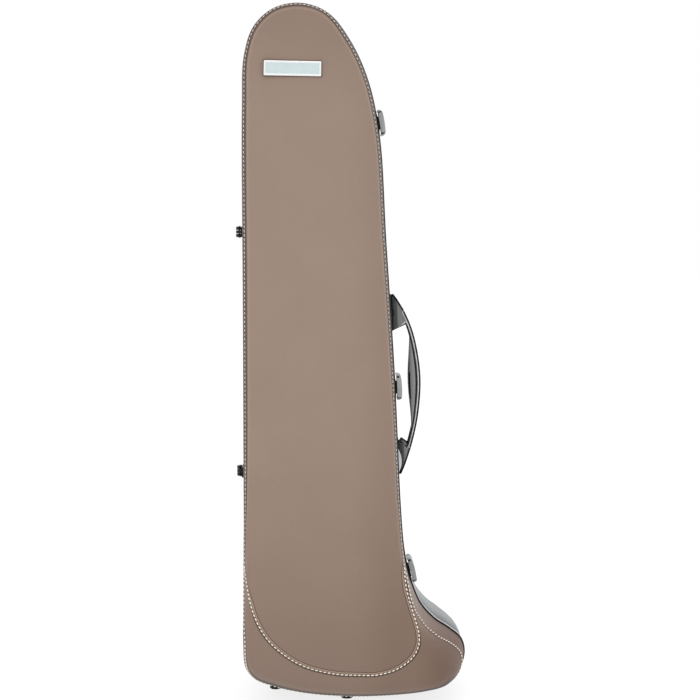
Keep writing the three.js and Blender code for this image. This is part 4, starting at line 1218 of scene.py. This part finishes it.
def make_piping(keeper):
    """Pale piping along the bow, the keeper and the slant of both ears, clear of the pivots."""
    slants = [(keeper[:2] + keeper[:1:-1]) / 2]
    slants.append(ear_slant("lower_top", LOWER_SLANT_SHARE) - (0, PIPING_INSET))
    slants.append(ear_slant("upper_bottom", UPPER_SLANT_SHARE) + (0, PIPING_INSET))
    lines = [inset_path(bow_run(*PIPING_SHARES, OUTER_STEPS, 0), PIPING_INSET)]
    for root, tip in slants:
        start = root + (tip - root) * (PIPING_START - root[0]) / (tip[0] - root[0])
        lines.append(np.array([start, tip]))
    paths = side_paths(lines, PIPING_LIFT)
    make_tubes("handle_piping", paths, PIPING_RADIUS, "handle_leather", "pale_piping")


def make_handle():
    outline = strap_outline()
    keeper = keeper_outline()
    make_strap(outline)
    cut_leather("handle_keeper", keeper)
    make_edge_paint([outline, keeper])
    make_piping(keeper)


# Grip: its reach along the handle, how far out its inside stands, and its rounding
GRIP_SHARES = (0.24, 0.76)
GRIP_STAND = 0.020
GRIP_HALF_WIDTH = 0.0125
GRIP_END_SHARE = 0.72
GRIP_SWELL_POWER = 0.6
GRIP_SWELL_REACH = 1.15
GRIP_ROUND_POWER = 0.6
GRIP_GAP = 0.0003
GRIP_LEAST_HALF = 0.0002
GRIP_STEPS = 48
GRIP_SIDES = 28
GRIP_EDGE_SHARE = 0.72
GRIP_EDGE_DEPTH = 0.002


def powered(value, power):
    """A power that keeps the sign of its value."""
    return math.copysign(abs(value) ** power, value)


def make_grip():
    """A padded grip under the strap, round in section and swelling towards its middle."""
    low, high = GRIP_SHARES
    points = []
    for i in range(GRIP_STEPS + 1):
        share = i / GRIP_STEPS
        along = (low + (high - low) * share) * HANDLE_LENGTH
        swell = max(math.sin(share * math.pi), 0.0) ** GRIP_SWELL_POWER
        outer = float(bow_out(along)) - HANDLE_STRAP - GRIP_GAP
        inner = outer + (GRIP_STAND - outer) * swell
        middle, half = (outer + inner) / 2, max((outer - inner) / 2, GRIP_LEAST_HALF)
        fullness = GRIP_END_SHARE + (1 - GRIP_END_SHARE) * min(1.0, swell * GRIP_SWELL_REACH)
        for s in range(GRIP_SIDES):
            turn = 2 * math.pi * s / GRIP_SIDES
            x = middle + half * powered(math.cos(turn), GRIP_ROUND_POWER)
            y = GRIP_HALF_WIDTH * fullness * powered(math.sin(turn), GRIP_ROUND_POWER)
            points.append((x, y, along))
    faces = capped_faces(GRIP_STEPS + 1, GRIP_SIDES)
    grip = make_piece("handle_grip_leather", on_handle(points), faces, "handle_leather", "handle")
    grip.data.materials.append(FINISHES["black_edge"])
    for polygon in grip.data.polygons:
        middle = HANDLE_FRAME.inverted() @ polygon.center
        outer = float(bow_out(middle.z)) - HANDLE_STRAP
        deep = outer - middle.x > (outer - GRIP_STAND) * GRIP_EDGE_SHARE
        if deep and middle.x < outer - GRIP_EDGE_DEPTH:
            polygon.material_index = 1
    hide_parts("handle_grip")


# Cheek on the base in front of the handle's lower mount
CHEEK_SPAN = (0.0060, 0.0450)
CHEEK_BULGE = 0.0062
CHEEK_POWER = 0.8
CHEEK_SEAT = -0.0012
CHEEK_FRONT = -0.0138
CHEEK_BACK = -0.0112
CHEEK_STEPS = 20
CHEEK_ROUND = 0.0007


def make_cheek():
    """A lens-shaped metal cheek on the base in front of the handle's lower mount."""
    low, high = CHEEK_SPAN
    loops = []
    for y, inset in ((CHEEK_BACK, 0), (CHEEK_FRONT + CHEEK_ROUND, 0), (CHEEK_FRONT, CHEEK_ROUND)):
        loop = [(CHEEK_SEAT, y, low), (CHEEK_SEAT, y, high)]
        for k in range(1, CHEEK_STEPS):
            share = k / CHEEK_STEPS
            out = CHEEK_BULGE * math.sin(math.pi * share) ** CHEEK_POWER - inset
            loop.append((max(out, CHEEK_SEAT / 2), y, high + (low - high) * share))
        loops.append(loop)
    faces = capped_faces(len(loops), len(loops[0]))
    points = [point for loop in loops for point in loop]
    cheek = make_piece("handle_lower_cheek", on_handle(points), faces, "satin_metal", "base", "pale_metal")
    sharpened(cheek)


# Bare name plate with a raised bright border
PLATE_TURN = 0.02
PLATE_EDGE = 0.0009
PLATE_BORDER = 0.0025
PLATE_CORNER = 0.0015
PLATE_LIFT = 0.0008
PLATE_FACE_LIFT = 0.0002
PLATE_ROUND = 0.0004
CORNER_STEPS = 6


def round_rectangle(width, height, radius):
    """Corners of a rectangle with round corners, as x and z from its middle."""
    points = []
    for quarter, (side, end) in enumerate(((1, 1), (-1, 1), (-1, -1), (1, -1))):
        for k in range(CORNER_STEPS + 1):
            angle = math.pi / 2 * (quarter + k / CORNER_STEPS)
            x = side * (width / 2 - radius) + radius * math.cos(angle)
            points.append((x, end * (height / 2 - radius) + radius * math.sin(angle)))
    return points


def plate_loops(profile):
    """Rounded rectangles on the plate's front, each inset and lifted."""
    low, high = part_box("name_plate")
    middle = (low + high) / 2
    wide, tall = high.x - low.x, high.z - low.z
    c, s = math.cos(PLATE_TURN), math.sin(PLATE_TURN)
    width, height = (wide * c - tall * s) / (c * c - s * s), (tall * c - wide * s) / (c * c - s * s)
    place = Matrix.Translation((middle.x, low.y, middle.z)) @ Matrix.Rotation(PLATE_TURN, 4, "Y")
    points = []
    for inset, lift in profile:
        radius = max(PLATE_CORNER - inset / 2, PLATE_CORNER / 4)
        loop = round_rectangle(width - 2 * inset, height - 2 * inset, radius)
        points += [place @ Vector((x, -lift, z)) for x, z in loop]
    return points, len(points) // len(profile)


def make_name_plate():
    inner = PLATE_EDGE + PLATE_BORDER
    profile = [
        (PLATE_EDGE, 0), (PLATE_EDGE, PLATE_LIFT - PLATE_ROUND), (PLATE_EDGE + PLATE_ROUND, PLATE_LIFT),
        (inner - PLATE_ROUND, PLATE_LIFT), (inner, PLATE_LIFT - PLATE_ROUND), (inner, 0),
    ]
    points, count = plate_loops(profile)
    faces = strip_faces(len(profile), count, closed=True)
    border = make_piece("name_plate_border", points, faces, "plate_metal", "lid", "polished_metal")
    sharpened(border)
    points, count = plate_loops([(inner, 0), (inner, PLATE_FACE_LIFT)])
    face = make_piece("name_plate_face", points, capped_faces(2, count), "plate_metal", "lid")
    sharpened(face)


make_camera()
make_studio()
for body, half, bands, edge_shades, slot, sewn in (
    ("lid", LID, LID_BAND_PLACES, LID_EDGE_SHADE_PLACES, "taupe_leather", "light_thread"),
    ("base", BASE, BASE_BAND_PLACES, BASE_EDGE_SHADE_PLACES, "grey_leather", "grey_thread"),
):
    skin = Skin(half, bands, edge_shades)
    make_shell(body, half, skin, slot)
    make_stitches(body, skin.stitch_lines, slot, sewn)
    make_lining(body, half)
make_rims()
make_gasket()
for block in FOAM_BLOCKS:
    make_soft_block(block)
make_soft_block("accessory_lid", voxel=TRAY_LID_VOXEL, turns=3)
make_handle()
make_grip()
make_cheek()
make_name_plate()


# Rigid pieces kept from the frame
EDGE_BEVEL = 0.0004
EDGE_ANGLE = 32
LATCHES = ("upper", "middle", "lower")
# Latch plates, keepers and pins get dark metal as painted shade in the gaps beside the levers; the handle
# brackets are dark metal
DARK_NODES = [f"latch_{name}_{part}" for name in LATCHES for part in ("plate", "keeper", "pin")]
DARK_NODES += ["handle_upper_bracket", "handle_lower_bracket"]
# The frame's name plate shows as a thin dark rim round the new plate: painted shade where the plate meets the
# leather
OTHER_FINISHES = {"name_plate": "plate_edging", **{node: "dark_metal" for node in DARK_NODES}}


def dress(node, slot):
    coat(nodes[node], OTHER_FINISHES.get(node, slot))
    add_bevel(nodes[node], EDGE_BEVEL, 3, EDGE_ANGLE).harden_normals = True


for part in frame["record"]["subparts"]:
    if not nodes[part["node"]].hide_render:
        dress(part["node"], part["material_slot"])

# Floor
FLOOR_HALF = 12.0
FLOOR_DROP = 0.0005


def make_floor():
    mesh = bpy.data.meshes.new("floor")
    corners = [(x * FLOOR_HALF, y * FLOOR_HALF, 0) for x, y in ((-1, -1), (1, -1), (1, 1), (-1, 1))]
    mesh.from_pydata(corners, [], [(0, 1, 2, 3)])
    mesh.materials.append(floor_finish())
    floor = linked("floor", mesh)
    floor.location.z = -FLOOR_DROP


make_floor()
